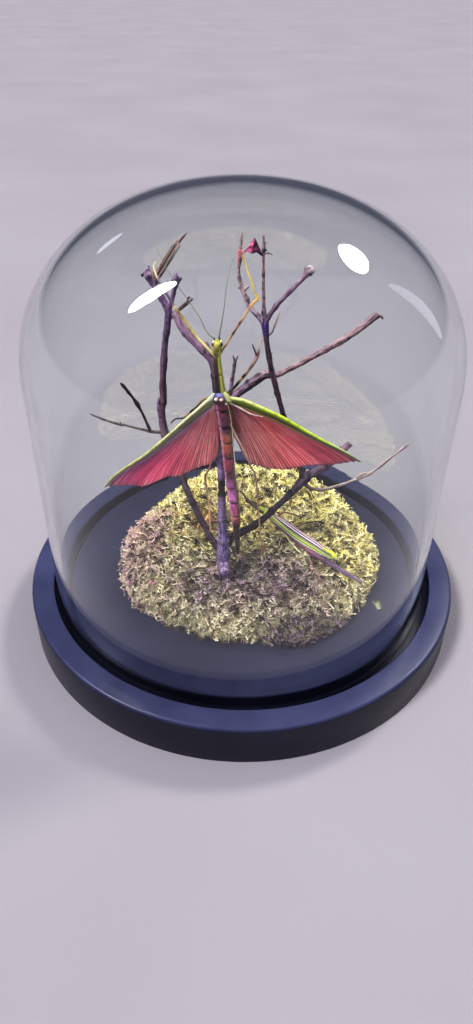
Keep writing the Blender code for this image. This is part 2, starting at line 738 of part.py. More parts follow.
def make_small_insect(body, wing):
    """The small insect, lying on the moss with its wings folded along its back."""
    near_fore = [(8.2, 5.9, 33.0, 0.35), (5.6, 7.4, 33.4, 0.3), (1.1, 12.8, 33.4, 0.25)]
    far_fore = [(7.6, 7.0, 33.0, 0.35), (5.1, 11.0, 33.6, 0.3), (1.9, 12.6, 33.6, 0.25)]
    far_fore_shin = [(1.9, 12.6, 33.6, 0.25), (-1.1, 18.5, 33.4, 0.2)]
    near_mid = [(12.5, -1.0, 32.8, 0.35), (15.5, -6.6, 32.0, 0.35), (18.4, -11.5, 31.2, 0.3)]
    near_mid_shin = [(18.4, -11.5, 31.2, 0.3), (20.1, -13.1, 30.4, 0.2)]
    far_mid = [(11.2, 1.1, 33.0, 0.35), (14.5, 6.4, 33.0, 0.3), (20.5, 5.0, 32.4, 0.25)]
    near_hind = [
        (21.1, -10.8, 32.2, 0.4),
        (22.6, -15.6, 30.8, 0.4),
        (24.0, -20.6, 29.8, 0.4),
        (27.6, -27.0, 29.0, 0.3),
        (31.6, -29.8, 28.6, 0.25),
    ]
    far_hind = [(15.6, -4.8, 33.0, 0.35), (21.6, 0.6, 32.6, 0.3), (28.3, 3.0, 32.0, 0.25)]
    feeler = [(6.9, 8.2, 33.4, 0.25), (6.9, 10.0, 34.2, 0.2), (8.7, 9.4, 34.4, 0.2)]
    paths = [near_fore, far_fore, far_fore_shin, near_mid, near_mid_shin, far_mid, near_hind, far_hind]
    trunk = as_mesh(rod("small_insect_body", SMALL_TRUNK, body, 8))
    combine(trunk, limbs("small", paths + [feeler], body), "UNION")
    folded = [
        (10.4, 4.1, 34.9, 0.4),
        (11.7, 2.0, 35.2, 1.0),
        (15.4, -2.8, 35.4, 1.2),
        (19.7, -7.6, 35.1, 1.2),
        (24.6, -12.0, 34.4, 1.2),
        (28.4, -15.6, 33.7, 1.1),
        (30.9, -18.0, 33.0, 0.5),
    ]
    rod("small_insect_wings", folded, wing)


def main():
    clear_scene()
    bark = finish("twig_bark", "5b454a", 0.75)
    pale_bark = finish("pale_twig_bark", "a48c84", 0.75)
    make_base()
    make_dome()
    make_moss()
    make_stem(bark)
    make_left_twig(bark, pale_bark)
    make_crossing_branch(bark, pale_bark)
    make_right_twig(bark, pale_bark)
    make_upright_twig(bark, pale_bark)
    make_leaf(finish("red_leaf", "b8606a", 0.6))
    make_large_insect(finish("large_insect_skin", "6d5a2c", 0.45), finish("red_wing", "b04a52", 0.5))
    make_small_insect(finish("small_insect_skin", "8a7a4c", 0.45), finish("purple_wing", "8c6f92", 0.5))


main()
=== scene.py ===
# %% [markdown]
# # Winged stick insects under a glass dome
# A turned black board carries a blown glass dome. Inside, dry twigs stand in a cushion of moss. One large
# winged stick insect clings to the main stem with its wings spread, and a small one rests on the moss.
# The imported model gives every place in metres. This lesson dresses it, one piece and one finish at a time.

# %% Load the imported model
import json
import math

import bmesh
import bpy
import numpy as np
from mathutils import Matrix, Vector
from mathutils.bvhtree import BVHTree

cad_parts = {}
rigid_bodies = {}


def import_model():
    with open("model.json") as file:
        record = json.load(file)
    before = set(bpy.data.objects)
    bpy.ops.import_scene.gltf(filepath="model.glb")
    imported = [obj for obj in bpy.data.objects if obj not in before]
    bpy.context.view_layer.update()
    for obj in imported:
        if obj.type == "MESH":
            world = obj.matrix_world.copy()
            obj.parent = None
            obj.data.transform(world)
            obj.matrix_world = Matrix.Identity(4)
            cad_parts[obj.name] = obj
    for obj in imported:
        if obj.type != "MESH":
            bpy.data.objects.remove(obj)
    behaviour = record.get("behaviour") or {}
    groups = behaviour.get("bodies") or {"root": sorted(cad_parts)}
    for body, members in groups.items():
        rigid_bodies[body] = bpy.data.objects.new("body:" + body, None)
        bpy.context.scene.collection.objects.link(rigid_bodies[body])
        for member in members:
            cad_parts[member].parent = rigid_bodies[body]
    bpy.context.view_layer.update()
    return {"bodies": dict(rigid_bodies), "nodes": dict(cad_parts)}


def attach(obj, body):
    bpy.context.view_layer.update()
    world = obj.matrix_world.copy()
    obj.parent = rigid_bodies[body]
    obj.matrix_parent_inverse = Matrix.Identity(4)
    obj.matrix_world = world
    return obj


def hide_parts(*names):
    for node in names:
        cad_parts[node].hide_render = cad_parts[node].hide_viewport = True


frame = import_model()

from_frame = set(frame["nodes"].values()) | set(frame["bodies"].values())
for thing in [o for o in bpy.data.objects if o not in from_frame]:
    bpy.data.objects.remove(thing)
MM = 0.001

# %% [markdown]
# ## The camera
# The photograph was taken by hand, from above and in front, with a slight roll. The angles come from the
# rims of the board and of the glass, which are circles on the real object and ellipses in the picture.

# %% Camera at the photograph's angle
PITCH, YAW, ROLL = (math.radians(v) for v in (36.744, -0.594, 0.702))
forward = Vector((math.sin(YAW) * math.cos(PITCH), math.cos(YAW) * math.cos(PITCH), -math.sin(PITCH)))
level = forward.cross(Vector((0, 0, 1))).normalized()
above = level.cross(forward)
right = level * math.cos(ROLL) + above * math.sin(ROLL)
upward = above * math.cos(ROLL) - level * math.sin(ROLL)
bpy.ops.object.camera_add()
camera = bpy.context.object
camera.matrix_world = Matrix((right, upward, -forward)).transposed().to_4x4()
camera.location = Vector((0.0, -206.94, 191.53)) * MM
camera.data.sensor_fit, camera.data.sensor_width, camera.data.lens = "AUTO", 36.0, 26.047
camera.data.clip_start = 0.01
bpy.context.scene.camera = camera
print("camera looks down by", round(math.degrees(PITCH), 1), "degrees")

# %% [markdown]
# ## Paint box
# Every colour is written as the sRGB hex value that the eye would pick, and one function turns it to the
# linear light that the shaders work in. One more function adds a shader node with its settings and links.
# Places and colours that belong together are written as text tables, with a comma after each row.

# %% Tables, colours and nodes
MIX = {"data_type": "RGBA"}
OVER = {"data_type": "RGBA", "blend_type": "MULTIPLY"}
A, B = 6, 7  # the two colours that go into a mix; its share is socket 0


def rows(text, columns):
    """The rows of numbers in a text table."""
    words = text.replace(",", " ").split()
    return [tuple(float(v) for v in words[i:i + columns]) for i in range(0, len(words), columns)]


def dyes(text):
    """The places and their hex colours in a text table."""
    words = text.replace(",", " ").split()
    return [(float(place), hue) for place, hue in zip(words[::2], words[1::2])]


def linear(hex_colour):
    """An sRGB hex colour as linear red, green, blue and an alpha of one."""
    parts = [int(hex_colour[i:i + 2], 16) / 255 for i in (1, 3, 5)]
    return [v / 12.92 if v <= 0.04045 else ((v + 0.055) / 1.055) ** 2.4 for v in parts] + [1.0]


def new_finish(name):
    """An empty material with its output node."""
    finish = bpy.data.materials.new(name)
    finish.use_nodes = True
    finish.node_tree.nodes.clear()
    finish.node_tree.nodes.new("ShaderNodeOutputMaterial")
    return finish


def node(finish, kind, sockets=None, stops="", out=None, **settings):
    """Add one node and give back its output: the one that out names, or else the first in use. Each socket gets
    a value or another node's output. Stops are a ramp's places and colours."""
    made = finish.node_tree.nodes.new("ShaderNode" + kind)
    for key, value in settings.items():
        setattr(made, key, value)
    for key, value in (sockets or {}).items():
        if isinstance(value, bpy.types.NodeSocket):
            finish.node_tree.links.new(value, made.inputs[key])
        else:
            made.inputs[key].default_value = value
    if stops:
        (first, low), *middle, (last, high) = dyes(stops)
        steps = made.color_ramp.elements
        steps[0].position, steps[0].color = first, linear(low)
        steps[1].position, steps[1].color = last, linear(high)
        for place, hue in middle:
            steps.new(place).color = linear(hue)
    return made.outputs[out] if out else next(o for o in made.outputs if o.enabled)


def show(finish, shader, socket="Surface"):
    """Send a shader to the material's output."""
    finish.node_tree.links.new(shader, finish.node_tree.nodes["Material Output"].inputs[socket])
    return finish


def settle(piece, slot, *nodes):
    """A finished piece rides on the fixed body and stands for its CAD nodes. Its slot is not used."""
    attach(piece, "root")
    if nodes:
        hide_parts(*nodes)
    faces = sum(len(p.vertices) - 2 for p in piece.data.polygons)
    print(piece.name, "has", faces, "triangles")


# %% [markdown]
# ## Floor and light
# The object stands on a plain pale floor in a soft studio light. Wide lamps far away act like soft boxes, so
# the light is even over the floor. The glass lets their light straight through, as thin clear glass does, so
# it is left out of what can shade them. A few small lamps show only as glints on the glass.

# %% Floor
bpy.ops.mesh.primitive_circle_add(vertices=96, radius=9.0, fill_type="NGON")
floor = bpy.context.object
floor.name = "floor"
paper = new_finish("pale_paper")
mottle = node(paper, "TexNoise", {"Scale": 6.0, "Detail": 3.0, "Vector": node(paper, "TexCoord", out="Object")})
tone = node(paper, "ValToRGB", {"Fac": mottle}, "0.3 #8a888f, 0.7 #908e96")
show(paper, node(paper, "BsdfPrincipled", {"Roughness": 0.8, "Specular IOR Level": 0.2, "Base Color": tone}))
floor.data.materials.append(paper)

# %% Lamps
no_shade = bpy.data.collections.new("glass_gives_no_shade")


def aim(name, toward, power, colour):
    """Turn the new lamp so that it shines from the given direction towards the middle of the object."""
    made = bpy.context.object
    made.name = name
    made.rotation_euler = Vector(toward).to_track_quat("Z", "Y").to_euler()
    made.visible_camera = made.visible_transmission = False
    made.data.energy, made.data.color = power, linear(colour)[:3]
    return made


def soft_box(name, toward, spread, power, colour):
    """A far soft box: a sun lamp with a wide disc, which lights matt surfaces and passes the glass."""
    bpy.ops.object.light_add(type="SUN")
    made = aim(name, toward, power, colour)
    made.data.angle = math.radians(spread)
    made.visible_glossy = False
    made.light_linking.blocker_collection = no_shade


def glint(name, start, end, width, power, colour):
    """A small lamp between two places in metres that only polished surfaces show."""
    bpy.ops.object.light_add(type="AREA")
    start, end = Vector(start), Vector(end)
    middle, run = (start + end) / 2, (end - start).normalized()
    facing = (middle - Vector((0, 0, 0.12))).normalized()
    made = aim(name, facing, power, colour)
    across = facing.cross(run).normalized()
    made.matrix_world = Matrix.Translation(middle) @ Matrix((run, across, run.cross(across))).transposed().to_4x4()
    made.data.shape, made.data.size, made.data.size_y = "ELLIPSE", (end - start).length, width
    made.visible_diffuse = False


soft_box("key_upper_left", (-0.45, -0.38, 0.81), 12, 3.5, "#fffaf0")
soft_box("key_right_behind", (0.511, 0.5, 0.699), 12, 2.2, "#fff6e8")
soft_box("cool_fill_in_front", (-0.62, -0.72, 0.32), 50, 0.95, "#b9a8ff")
soft_box("soft_fill_above", (0.1, -0.25, 0.96), 110, 1.1, "#e8e9ff")
glint("long_glint_left", (-0.72, -0.06, 0.85), (-0.39, 0.10, 1.04), 0.10, 6.0, "#ffffff")
glint("round_glint_right", (0.44, 0.58, 0.79), (0.62, 0.37, 0.87), 0.17, 4.0, "#ffffff")
glint("small_glint_left", (-0.62, 0.62, 0.58), (-0.50, 0.74, 0.64), 0.05, 0.06, "#e8ecff")
glint("tall_glint_right", (1.05, 0.50, 0.16), (0.80, 0.42, 0.75), 0.12, 0.32, "#f2f0ff")
world = bpy.data.worlds.new("studio_air")
world.use_nodes = True
air = world.node_tree.nodes["Background"].inputs
air["Color"].default_value, air["Strength"].default_value = linear("#cdd1f0"), 0.16
bpy.context.scene.world = world
bpy.context.scene.view_settings.view_transform = "Standard"
bpy.context.scene.view_settings.look = "Medium High Contrast"

# %% [markdown]
# ## The turned board
# The base is a turned board of MDF or beech with a sprayed satin black paint. A routed ring groove takes the
# glass. A cylinder is the lathe's blank: insets mark the groove, an extrusion sinks it, and bevels break the
# edges, the way the cutter and the sandpaper did.

# %% Blank and groove


def choose(piece, kind, wanted):
    """In edit mode, select only the faces or edges that the test wants, by their middle in mm."""
    bpy.ops.mesh.select_mode(type={"faces": "FACE", "edges": "EDGE"}[kind])
    bpy.ops.mesh.select_all(action="DESELECT")
    form = bmesh.from_edit_mesh(piece.data)
    for part in getattr(form, kind):
        middle = sum((v.co for v in part.verts), Vector()) / len(part.verts) / MM
        part.select_set(bool(wanted(part, middle)))
    bmesh.update_edit_mesh(piece.data)


BOARD_R, BOARD_H, GROOVE_IN, GROOVE_OUT, GROOVE_DEEP = 75.0, 15.0, 61.4, 67.3, 5.0
bpy.ops.mesh.primitive_cylinder_add(vertices=180, radius=BOARD_R * MM, depth=BOARD_H * MM,
                                    location=(0, 0, BOARD_H * MM / 2))
board = bpy.context.object
board.name = "turned_board"
bpy.ops.object.transform_apply(location=True)
bpy.ops.object.mode_set(mode="EDIT")
choose(board, "faces", lambda f, p: f.normal.z > 0.9)
bpy.ops.mesh.inset(thickness=(BOARD_R - GROOVE_OUT) * MM)
bpy.ops.mesh.inset(thickness=(GROOVE_OUT - GROOVE_IN) * MM)
choose(board, "faces", lambda f, p: f.normal.z > 0.9 and GROOVE_IN < p.xy.length < GROOVE_OUT)
bpy.ops.mesh.extrude_region_move(TRANSFORM_OT_translate={"value": (0, 0, -GROOVE_DEEP * MM)})

# %% Broken edges
for height, inner, outer, width in ((BOARD_H, 74, 76, 1.2), (0, 74, 76, 0.6), (BOARD_H, 66, 69, 0.5),
                                    (BOARD_H, 60, 63, 0.5), (BOARD_H - GROOVE_DEEP, 60, 69, 0.9)):
    choose(board, "edges", lambda e, p: abs(p.z - height) < 0.01 and inner < p.xy.length < outer
           and abs(e.verts[0].co.xy.length - e.verts[1].co.xy.length) < 1e-5)
    bpy.ops.mesh.bevel(offset=width * MM, segments=5, affect="EDGES")
bpy.ops.object.mode_set(mode="OBJECT")
bpy.ops.object.shade_smooth_by_angle(angle=math.radians(28))

# %% [markdown]
# Satin black lacquer, sprayed on sanded board: a dark blue-black with an even, soft gloss. The spray leaves
# a faint orange peel about half a millimetre across. Fine dust and a painted blue sheen grey the open top, less
# of both lies under the glass, and none on the upright side, so the side is the blackest part.

# %% Satin black lacquer
lacquer = new_finish("satin_black_lacquer")
point = node(lacquer, "TexCoord", out="Object")
dust = node(lacquer, "TexNoise", {"Scale": 38.0, "Detail": 6.0, "Roughness": 0.6, "Vector": point})
peel = node(lacquer, "TexNoise", {"Scale": 2000.0, "Detail": 2.0, "Vector": point})
height = node(lacquer, "SeparateXYZ", {0: point}, out="Z")
top = node(lacquer, "MapRange", {"From Min": 0.0140, "From Max": 0.0149, "Value": height})
reach = node(lacquer, "VectorMath", {0: point}, operation="LENGTH")
open_air = node(lacquer, "MapRange", {"From Min": 0.064, "From Max": 0.070, "To Min": 0.4, "Value": reach})
# The share of dust and painted sheen: all of it on the open top, less under the glass, none on the side.
dust_and_sheen_share = node(lacquer, "Math", {0: top, 1: open_air}, operation="MULTIPLY")
black = node(lacquer, "ValToRGB", {"Fac": dust}, "0.3 #0a0b14, 0.72 #141625")
dust_and_painted_sheen = node(lacquer, "ValToRGB", {"Fac": dust}, "0.3 #292c48, 0.72 #3b3f5e")
tone = node(lacquer, "Mix", {0: dust_and_sheen_share, A: black, B: dust_and_painted_sheen}, **MIX)
gloss = node(lacquer, "MapRange", {"From Min": 0.3, "From Max": 0.7, "To Min": 0.3, "To Max": 0.42, "Value": dust})
bump = node(lacquer, "Bump", {"Strength": 0.05, "Distance": 0.0001, "Height": peel})
show(lacquer, node(lacquer, "BsdfPrincipled", {
    "Base Color": tone, "Roughness": gloss, "Specular IOR Level": 0.3, "Coat Weight": 0.1, "Coat Roughness": 0.25,
    "Normal": bump}))
board.data.materials.append(lacquer)
settle(board, "black_satin_paint", "base")

# %% [markdown]
# ## The blown glass dome
# A glass cylinder is blown and its top drawn in, so it is a straight wall under a cap a little fuller than a
# half sphere. A sphere gives the cap, its lower half is cut away, and the open edge is pulled down for the
# wall. The wall gets its thickness last, so that both of its skins bend the light.

# %% Cap and wall
DOME_R, DOME_WALL, DOME_X, CAP_FOOT, DOME_TOP, RIM, CAP_POWER = 65.2, 2.4, -0.9, 93.0, 144.5, 10.3, 2.17
bpy.ops.mesh.primitive_uv_sphere_add(segments=160, ring_count=96, radius=DOME_R * MM,
                                     location=(DOME_X * MM, 0, CAP_FOOT * MM))
dome = bpy.context.object
dome.name = "blown_glass"
bpy.ops.object.transform_apply(location=True)
bpy.ops.object.mode_set(mode="EDIT")
choose(dome, "faces", lambda f, p: p.z < CAP_FOOT)
bpy.ops.mesh.delete(type="FACE")
choose(dome, "edges", lambda e, p: e.is_boundary)
heights = [CAP_FOOT, 90, 80, 68, 56, 44, 33, 24, 17, 13.4, 11.6, RIM]
for above_it, below_it in zip(heights, heights[1:]):
    bpy.ops.mesh.extrude_region_move(TRANSFORM_OT_translate={"value": (0, 0, (below_it - above_it) * MM)})
bpy.ops.mesh.select_all(action="SELECT")
bpy.ops.mesh.normals_make_consistent(inside=False)
bpy.ops.object.mode_set(mode="OBJECT")
for vertex in dome.data.vertices:
    rise = (vertex.co.z / MM - CAP_FOOT) / DOME_R
    if rise > 1e-4:
        turn = math.asin(min(1.0, rise))
        out = math.cos(turn) ** (2 / CAP_POWER) / max(math.cos(turn), 1e-6) if turn < 1.57 else 0.0
        vertex.co = ((DOME_X * (1 - out)) * MM + vertex.co.x * out, vertex.co.y * out,
                     (CAP_FOOT + (DOME_TOP - CAP_FOOT) * math.sin(turn) ** (2 / CAP_POWER)) * MM)

# %% Wall thickness and fire-polished rim


def finish_with(piece, kind, **settings):
    """Add one modifier with its settings and apply it."""
    bpy.ops.object.select_all(action="DESELECT")
    piece.select_set(True)
    bpy.context.view_layer.objects.active = piece
    made = piece.modifiers.new(kind.lower(), kind)
    for key, value in settings.items():
        setattr(made, key, value)
    bpy.ops.object.modifier_apply(modifier=made.name)


finish_with(dome, "SOLIDIFY", thickness=DOME_WALL * MM, offset=-1.0, use_even_offset=True)
finish_with(dome, "BEVEL", width=0.7 * MM, segments=4, limit_method="ANGLE", angle_limit=math.radians(60))
bpy.ops.object.shade_smooth()

# %% [markdown]
# Clear soda-lime glass: an index just under 1.5, almost no colour except a trace of green along the thick
# edges, and a very slow unevenness from blowing, which makes the highlights wander a little.

# %% Clear soda-lime glass
glass = new_finish("clear_soda_lime_glass")
sway = node(glass, "TexNoise", {"Scale": 18.0, "Detail": 1.0, "Vector": node(glass, "TexCoord", out="Object")})
bump = node(glass, "Bump", {"Strength": 0.04, "Distance": 0.002, "Height": sway})
show(glass, node(glass, "BsdfPrincipled", {"Base Color": linear("#fdfffe"), "Roughness": 0.0, "IOR": 1.48,
                                           "Transmission Weight": 1.0, "Normal": bump}))
show(glass, node(glass, "VolumeAbsorption", {"Color": linear("#b4c8c4"), "Density": 26.0}), "Volume")
dome.data.materials.append(glass)
settle(dome, "clear_glass", "glass_dome")
no_shade.objects.link(dome)
no_shade.collection_objects[0].light_linking.link_state = "EXCLUDE"

# %% [markdown]
# ## Twigs
# The twigs are dry, finger-length pieces of one shrub: about 2 mm thick, knobbly at each node and purple-brown,
# with a pinkish-white highlight painted on the upper side, where the light falls. Each is drawn as a curve
# through its own bends, with its own thickness at each, and then turned to a mesh and roughened.

# %% One limb from its bends


def unit(v):
    """Vectors of length one."""
    return v / np.maximum(np.linalg.norm(v, axis=-1, keepdims=True), 1e-9)


def along(points):
    """The length in mm from the first point to each one."""
    return np.concatenate([[0.0], np.cumsum(np.linalg.norm(np.diff(points, axis=0), axis=1))])


def mark(piece, name, kind, values):
    """Give each point of a piece its own number, direction or colour."""
    key = {"FLOAT": "value", "FLOAT_VECTOR": "vector", "FLOAT_COLOR": "color"}[kind]
    piece.data.attributes.new(name, kind, "POINT").data.foreach_set(key, np.asarray(values, np.float32).ravel())


def swell_at_nodes(out, length, every, height, seed):
    """Millimetres to push each point out: a low ring at each node and a bud scar on one side of it."""
    luck = np.random.default_rng(seed)
    count = max(1, int(length[-1] / every))
    swell = np.zeros(out.shape[:2])
    for at in (np.arange(count) + luck.uniform(0.2, 0.8, count)) * length[-1] / count:
        ring = np.exp(-((length - at) / 0.6) ** 2)[:, None]
        bud = np.exp(-((length - at - 0.4) / 0.6) ** 2)[:, None] * np.clip(out @ unit(luck.normal(size=3)), 0, 1) ** 4
        swell += height * luck.uniform(0.6, 1.3) * (0.6 * ring + 1.6 * bud)
    return swell


def draw_limb(name, bends, paint, sides=12, rings=6, cut=False, nodes=None):
    """A limb through bends of (x, y, z, radius) in mm. Its paint is a table of shares of its length and colours.
    A cut limb shows pale wood at its ends, and nodes gives the distance and the height of its node rings."""
    bpy.ops.curve.primitive_bezier_curve_add(location=(0, 0, 0))
    path = bpy.context.object.data
    path.dimensions, path.bevel_depth, path.bevel_resolution, path.use_fill_caps = "3D", MM, (sides - 4) // 2, True
    line = path.splines[0]
    line.bezier_points.add(len(bends) - 2)
    line.resolution_u, line.radius_interpolation = rings, "EASE"
    for bend, (x, y, z, radius) in zip(line.bezier_points, bends):
        bend.co, bend.radius = (x * MM, y * MM, z * MM), radius
        bend.handle_left_type = bend.handle_right_type = "AUTO"
    bpy.ops.object.convert(target="MESH")
    limb = bpy.context.object
    limb.name = name
    mark_limb(limb, sides, (len(bends) - 1) * rings + 1, dyes(paint), cut, nodes)
    return limb


def mark_limb(limb, sides, rings, paint, cut, nodes):
    """Write each point's length along the limb, its outward direction and its paint, then close the ends."""
    mesh = limb.data
    places = np.array([v.co for v in mesh.vertices])
    body = places[2 * sides:].reshape(rings, sides, 3)
    middle = body.mean(1)
    length = along(middle) / MM
    out = unit(body - middle[:, None])
    swell = swell_at_nodes(out, length, *nodes, len(limb.name) * 7 + rings) if nodes else np.zeros(out.shape[:2])
    body = body + out * swell[..., None] * MM
    dark = 1 - 0.75 * np.clip(swell / (nodes[1] if nodes else 1.0), 0, 1)

    def with_caps(values):
        return np.concatenate([values[-1], values[0], values.reshape(-1, *values.shape[2:])])

    mesh.vertices.foreach_set("co", with_caps(body).astype(np.float32).ravel())
    length = with_caps(np.repeat(length[:, None], sides, axis=1))
    share = length / length.max()
    hues = np.array([linear(hue) for _, hue in paint])
    tint = np.stack([np.interp(share, [s for s, _ in paint], hues[:, k]) for k in range(4)], axis=1)
    tint[:, :3] *= with_caps(dark)[:, None]
    mark(limb, "length_mm", "FLOAT", length)
    mark(limb, "outward", "FLOAT_VECTOR", with_caps(out))
    mark(limb, "paint", "FLOAT_COLOR", tint)
    if cut:
        for face in mesh.polygons:
            face.material_index = int(all(v < 2 * sides for v in face.vertices))
    form = bmesh.new()
    form.from_mesh(mesh)
    bmesh.ops.remove_doubles(form, verts=form.verts, dist=1e-7)
    bmesh.ops.recalc_face_normals(form, faces=form.faces)
    form.to_mesh(mesh)
    form.free()


def roughen(piece, size_mm, height_mm):
    """Push the surface in and out by a clouded relief of a given size and height."""
    relief = bpy.data.textures.new(piece.name + "_relief", "CLOUDS")
    relief.noise_scale = size_mm * MM
    finish_with(piece, "DISPLACE", texture=relief, texture_coords="LOCAL", strength=height_mm * MM, mid_level=0.5)


def join(name, parts, *finishes):
    """Join parts to one piece with its finishes."""
    bpy.ops.object.select_all(action="DESELECT")
    for part in parts:
        part.select_set(True)
    piece = bpy.context.view_layer.objects.active = parts[0]
    if len(parts) > 1:
        bpy.ops.object.join()
    piece.name = name
    slots = [p.material_index for p in piece.data.polygons]
    piece.data.materials.clear()
    for finish in finishes:
        piece.data.materials.append(finish)
    for face, slot in zip(piece.data.polygons, slots):
        face.material_index = max(0, min(slot, len(finishes) - 1))
    bpy.ops.object.shade_smooth()
    return piece


def limbs(text, **how):
    """Limbs from a text table. Each entry is a name, its bends as x, y, z and radius in mm, and its paint. The
    keywords say how all of them are drawn, and a keyword that is a limb's name says what differs for that limb."""
    made = []
    for entry in text.split(";"):
        name, bends, paint = (part.strip() for part in entry.replace(":", "|").split("|"))
        shared = {key: value for key, value in how.items() if not isinstance(value, dict)}
        made.append(draw_limb(name, rows(bends, 4), paint, **{**shared, **how.get(name, {})}))
    return made


def twig(name, cad_node, slot, finishes, relief, parts, smooth_parts=()):
    """One piece of limbs: all but the smooth ones get a relief of the given size and height."""
    for part in parts:
        roughen(part, *relief)
    settle(join(name, [*parts, *smooth_parts], *finishes), slot, cad_node)


# %% [markdown]
# Dry bark, weathered outdoors: matt, with fine lengthwise wrinkles about 0.3 mm apart and darker scars. Its
# upper side gets a painted highlight in streaks along the wrinkles. The wrinkles follow the limb through a
# noise on its outward direction and length.

# %% Dry bark and cut wood


def bark_finish(name, lit_side_paint, lit_side_share):
    """Painted bark with wrinkles, scars and a painted highlight on the upper side, which faces the key lamp."""
    bark = new_finish(name)
    paint = node(bark, "Attribute", attribute_name="paint")
    outward = node(bark, "Attribute", out="Vector", attribute_name="outward")
    length = node(bark, "Attribute", out="Fac", attribute_name="length_mm")
    run = node(bark, "Math", {0: length, 1: 0.075}, operation="MULTIPLY")
    wrinkle = node(bark, "TexNoise", {"Scale": 4.2, "Detail": 5.0, "Roughness": 0.7, "Vector": outward, "W": run},
                   noise_dimensions="4D")
    scars = node(bark, "TexNoise", {"Scale": 850.0, "Detail": 3.0, "Roughness": 0.65,
                                    "Vector": node(bark, "TexCoord", out="Object")})
    light = node(bark, "ValToRGB", {"Fac": wrinkle}, "0.31 #382d36, 0.43 #9c929a, 0.54 #f0eaee, 0.7 #ffffff")
    spots = node(bark, "ValToRGB", {"Fac": scars}, "0.38 #3c2e34, 0.5 #ffffff")
    base = node(bark, "Mix", {0: 1.0, A: paint, B: light}, **OVER)
    scarred = node(bark, "Mix", {0: 0.85, A: base, B: spots}, **OVER)
    # Painted highlight: the side that faces the upper left lamp gets the lit-side paint, in streaks along the wrinkle
    # ridges and never on near-black paint.
    facing_key_light = node(bark, "VectorMath", {0: outward, 1: (-0.25, -0.4, 0.85)}, operation="DOT_PRODUCT")
    upper = node(bark, "MapRange", {"From Min": 0.05, "From Max": 0.9, "To Max": lit_side_share, "Value": facing_key_light})
    ridges_or_speckle = node(bark, "MapRange", {"From Min": 0.4, "From Max": 0.62, "Value": wrinkle})
    painted_highlight_patches = node(bark, "Math", {0: upper, 1: ridges_or_speckle}, operation="MULTIPLY")
    pale_paint = node(bark, "RGBToBW", {0: paint})
    not_black = node(bark, "MapRange", {"From Min": 0.012, "From Max": 0.05, "Value": pale_paint})
    painted_highlight_patches = node(bark, "Math", {0: painted_highlight_patches, 1: not_black}, operation="MULTIPLY")
    with_painted_lit_side = node(bark, "Mix", {0: painted_highlight_patches, A: scarred, B: linear(lit_side_paint)}, **MIX)
    bump = node(bark, "Bump", {"Strength": 0.8, "Distance": 0.0004, "Height": wrinkle})
    return show(bark, node(bark, "BsdfPrincipled", {
        "Roughness": 0.68, "Specular IOR Level": 0.35, "Base Color": with_painted_lit_side, "Normal": bump}))


# Each bark has its own painted highlight colour and share; the shaded purple bark gets a darker, smaller one.
purple_bark = bark_finish("weathered_purple_bark", "#cdb0bc", 0.75)
shaded_bark = bark_finish("shaded_purple_bark", "#a48c94", 0.65)
pale_bark = bark_finish("weathered_pale_bark", "#f0dcd6", 0.9)
dark_bark = bark_finish("dark_shoot_bark", "#93867e", 0.4)
cut_wood = new_finish("cut_pale_wood")
fibre = node(cut_wood, "TexNoise", {"Scale": 2500.0, "Detail": 2.0,
                                    "Vector": node(cut_wood, "TexCoord", out="Object")})
tone = node(cut_wood, "ValToRGB", {"Fac": fibre}, "0.3 #a98fa6, 0.7 #e3d3d9")
show(cut_wood, node(cut_wood, "BsdfPrincipled", {"Roughness": 0.85, "Base Color": tone}))

# %% [markdown]
# The main stem stands in the moss on a thick stump with a cut side shoot. The large insect clings to it,
# and its upper limb bends away to the left behind the insect's head.

# %% Main stem
twig("stem_twig", "main_stem", "twig_bark", [purple_bark, cut_wood], (2.2, 0.35), limbs("""
stem: -6.2 -21.4 20 1.5, -6 -21.4 27 1.7, -6 -21.4 33.2 2.05, -6 -21.4 37 2.15, -6 -21.4 40.4 1.9, -6.2 -21.4
 45.7 1.45, -6.4 -21.5 55.7 1.25, -6.5 -21.5 62 1.02, -6.7 -21.5 68.7 1.18, -7.4 -21.5 80 1.15, -7.4 -21.5 89
 1.2, -8 -21.5 97 1.12, -8.8 -21.2 103.7 1.3, -11 -20.8 106.4 1.2, -13.6 -20.5 109 1.12, -16.5 -20 112.1 1.1,
 -19.1 -19 116.4 0.95 | 0 #7464a0, 0.13 #8f7cba, 0.24 #8a78b8, 0.38 #8f7aa6, 0.405 #2a1d26, 0.45 #1c1318, 0.485
 #b69cda, 0.57 #a98ccc, 0.6 #4a3446, 0.76 #3c2838, 0.83 #5a4058, 0.87 #a583a2, 1 #9a7a98;
stem_bud: -9 -21.1 103.6 0.8, -9.7 -21.4 105.8 0.75, -10.1 -21.5 108.1 0.6, -10.5 -21.5 109.6 0.3 | 0 #6a5064, 1
 #c9a9b8;
stem_stub: -5.9 -20.6 36 1.9, -5.8 -22.4 33.4 1.75, -5.6 -23.9 31.9 1.5, -5.4 -25 31.8 1.4 | 0 #8674b0, 1
 #a896c4
""", stem={"sides": 16, "rings": 8, "nodes": (8.5, 0.3)}, stem_bud={"sides": 10}, stem_stub={"sides": 18}, cut=True))

# %% [markdown]
# The left twig rises behind the left wing. A strip of bark has peeled off half-way, and its tip is knobbly.
# Two thin shoots, a fork, a spur and a pale peeled twig grow from it.

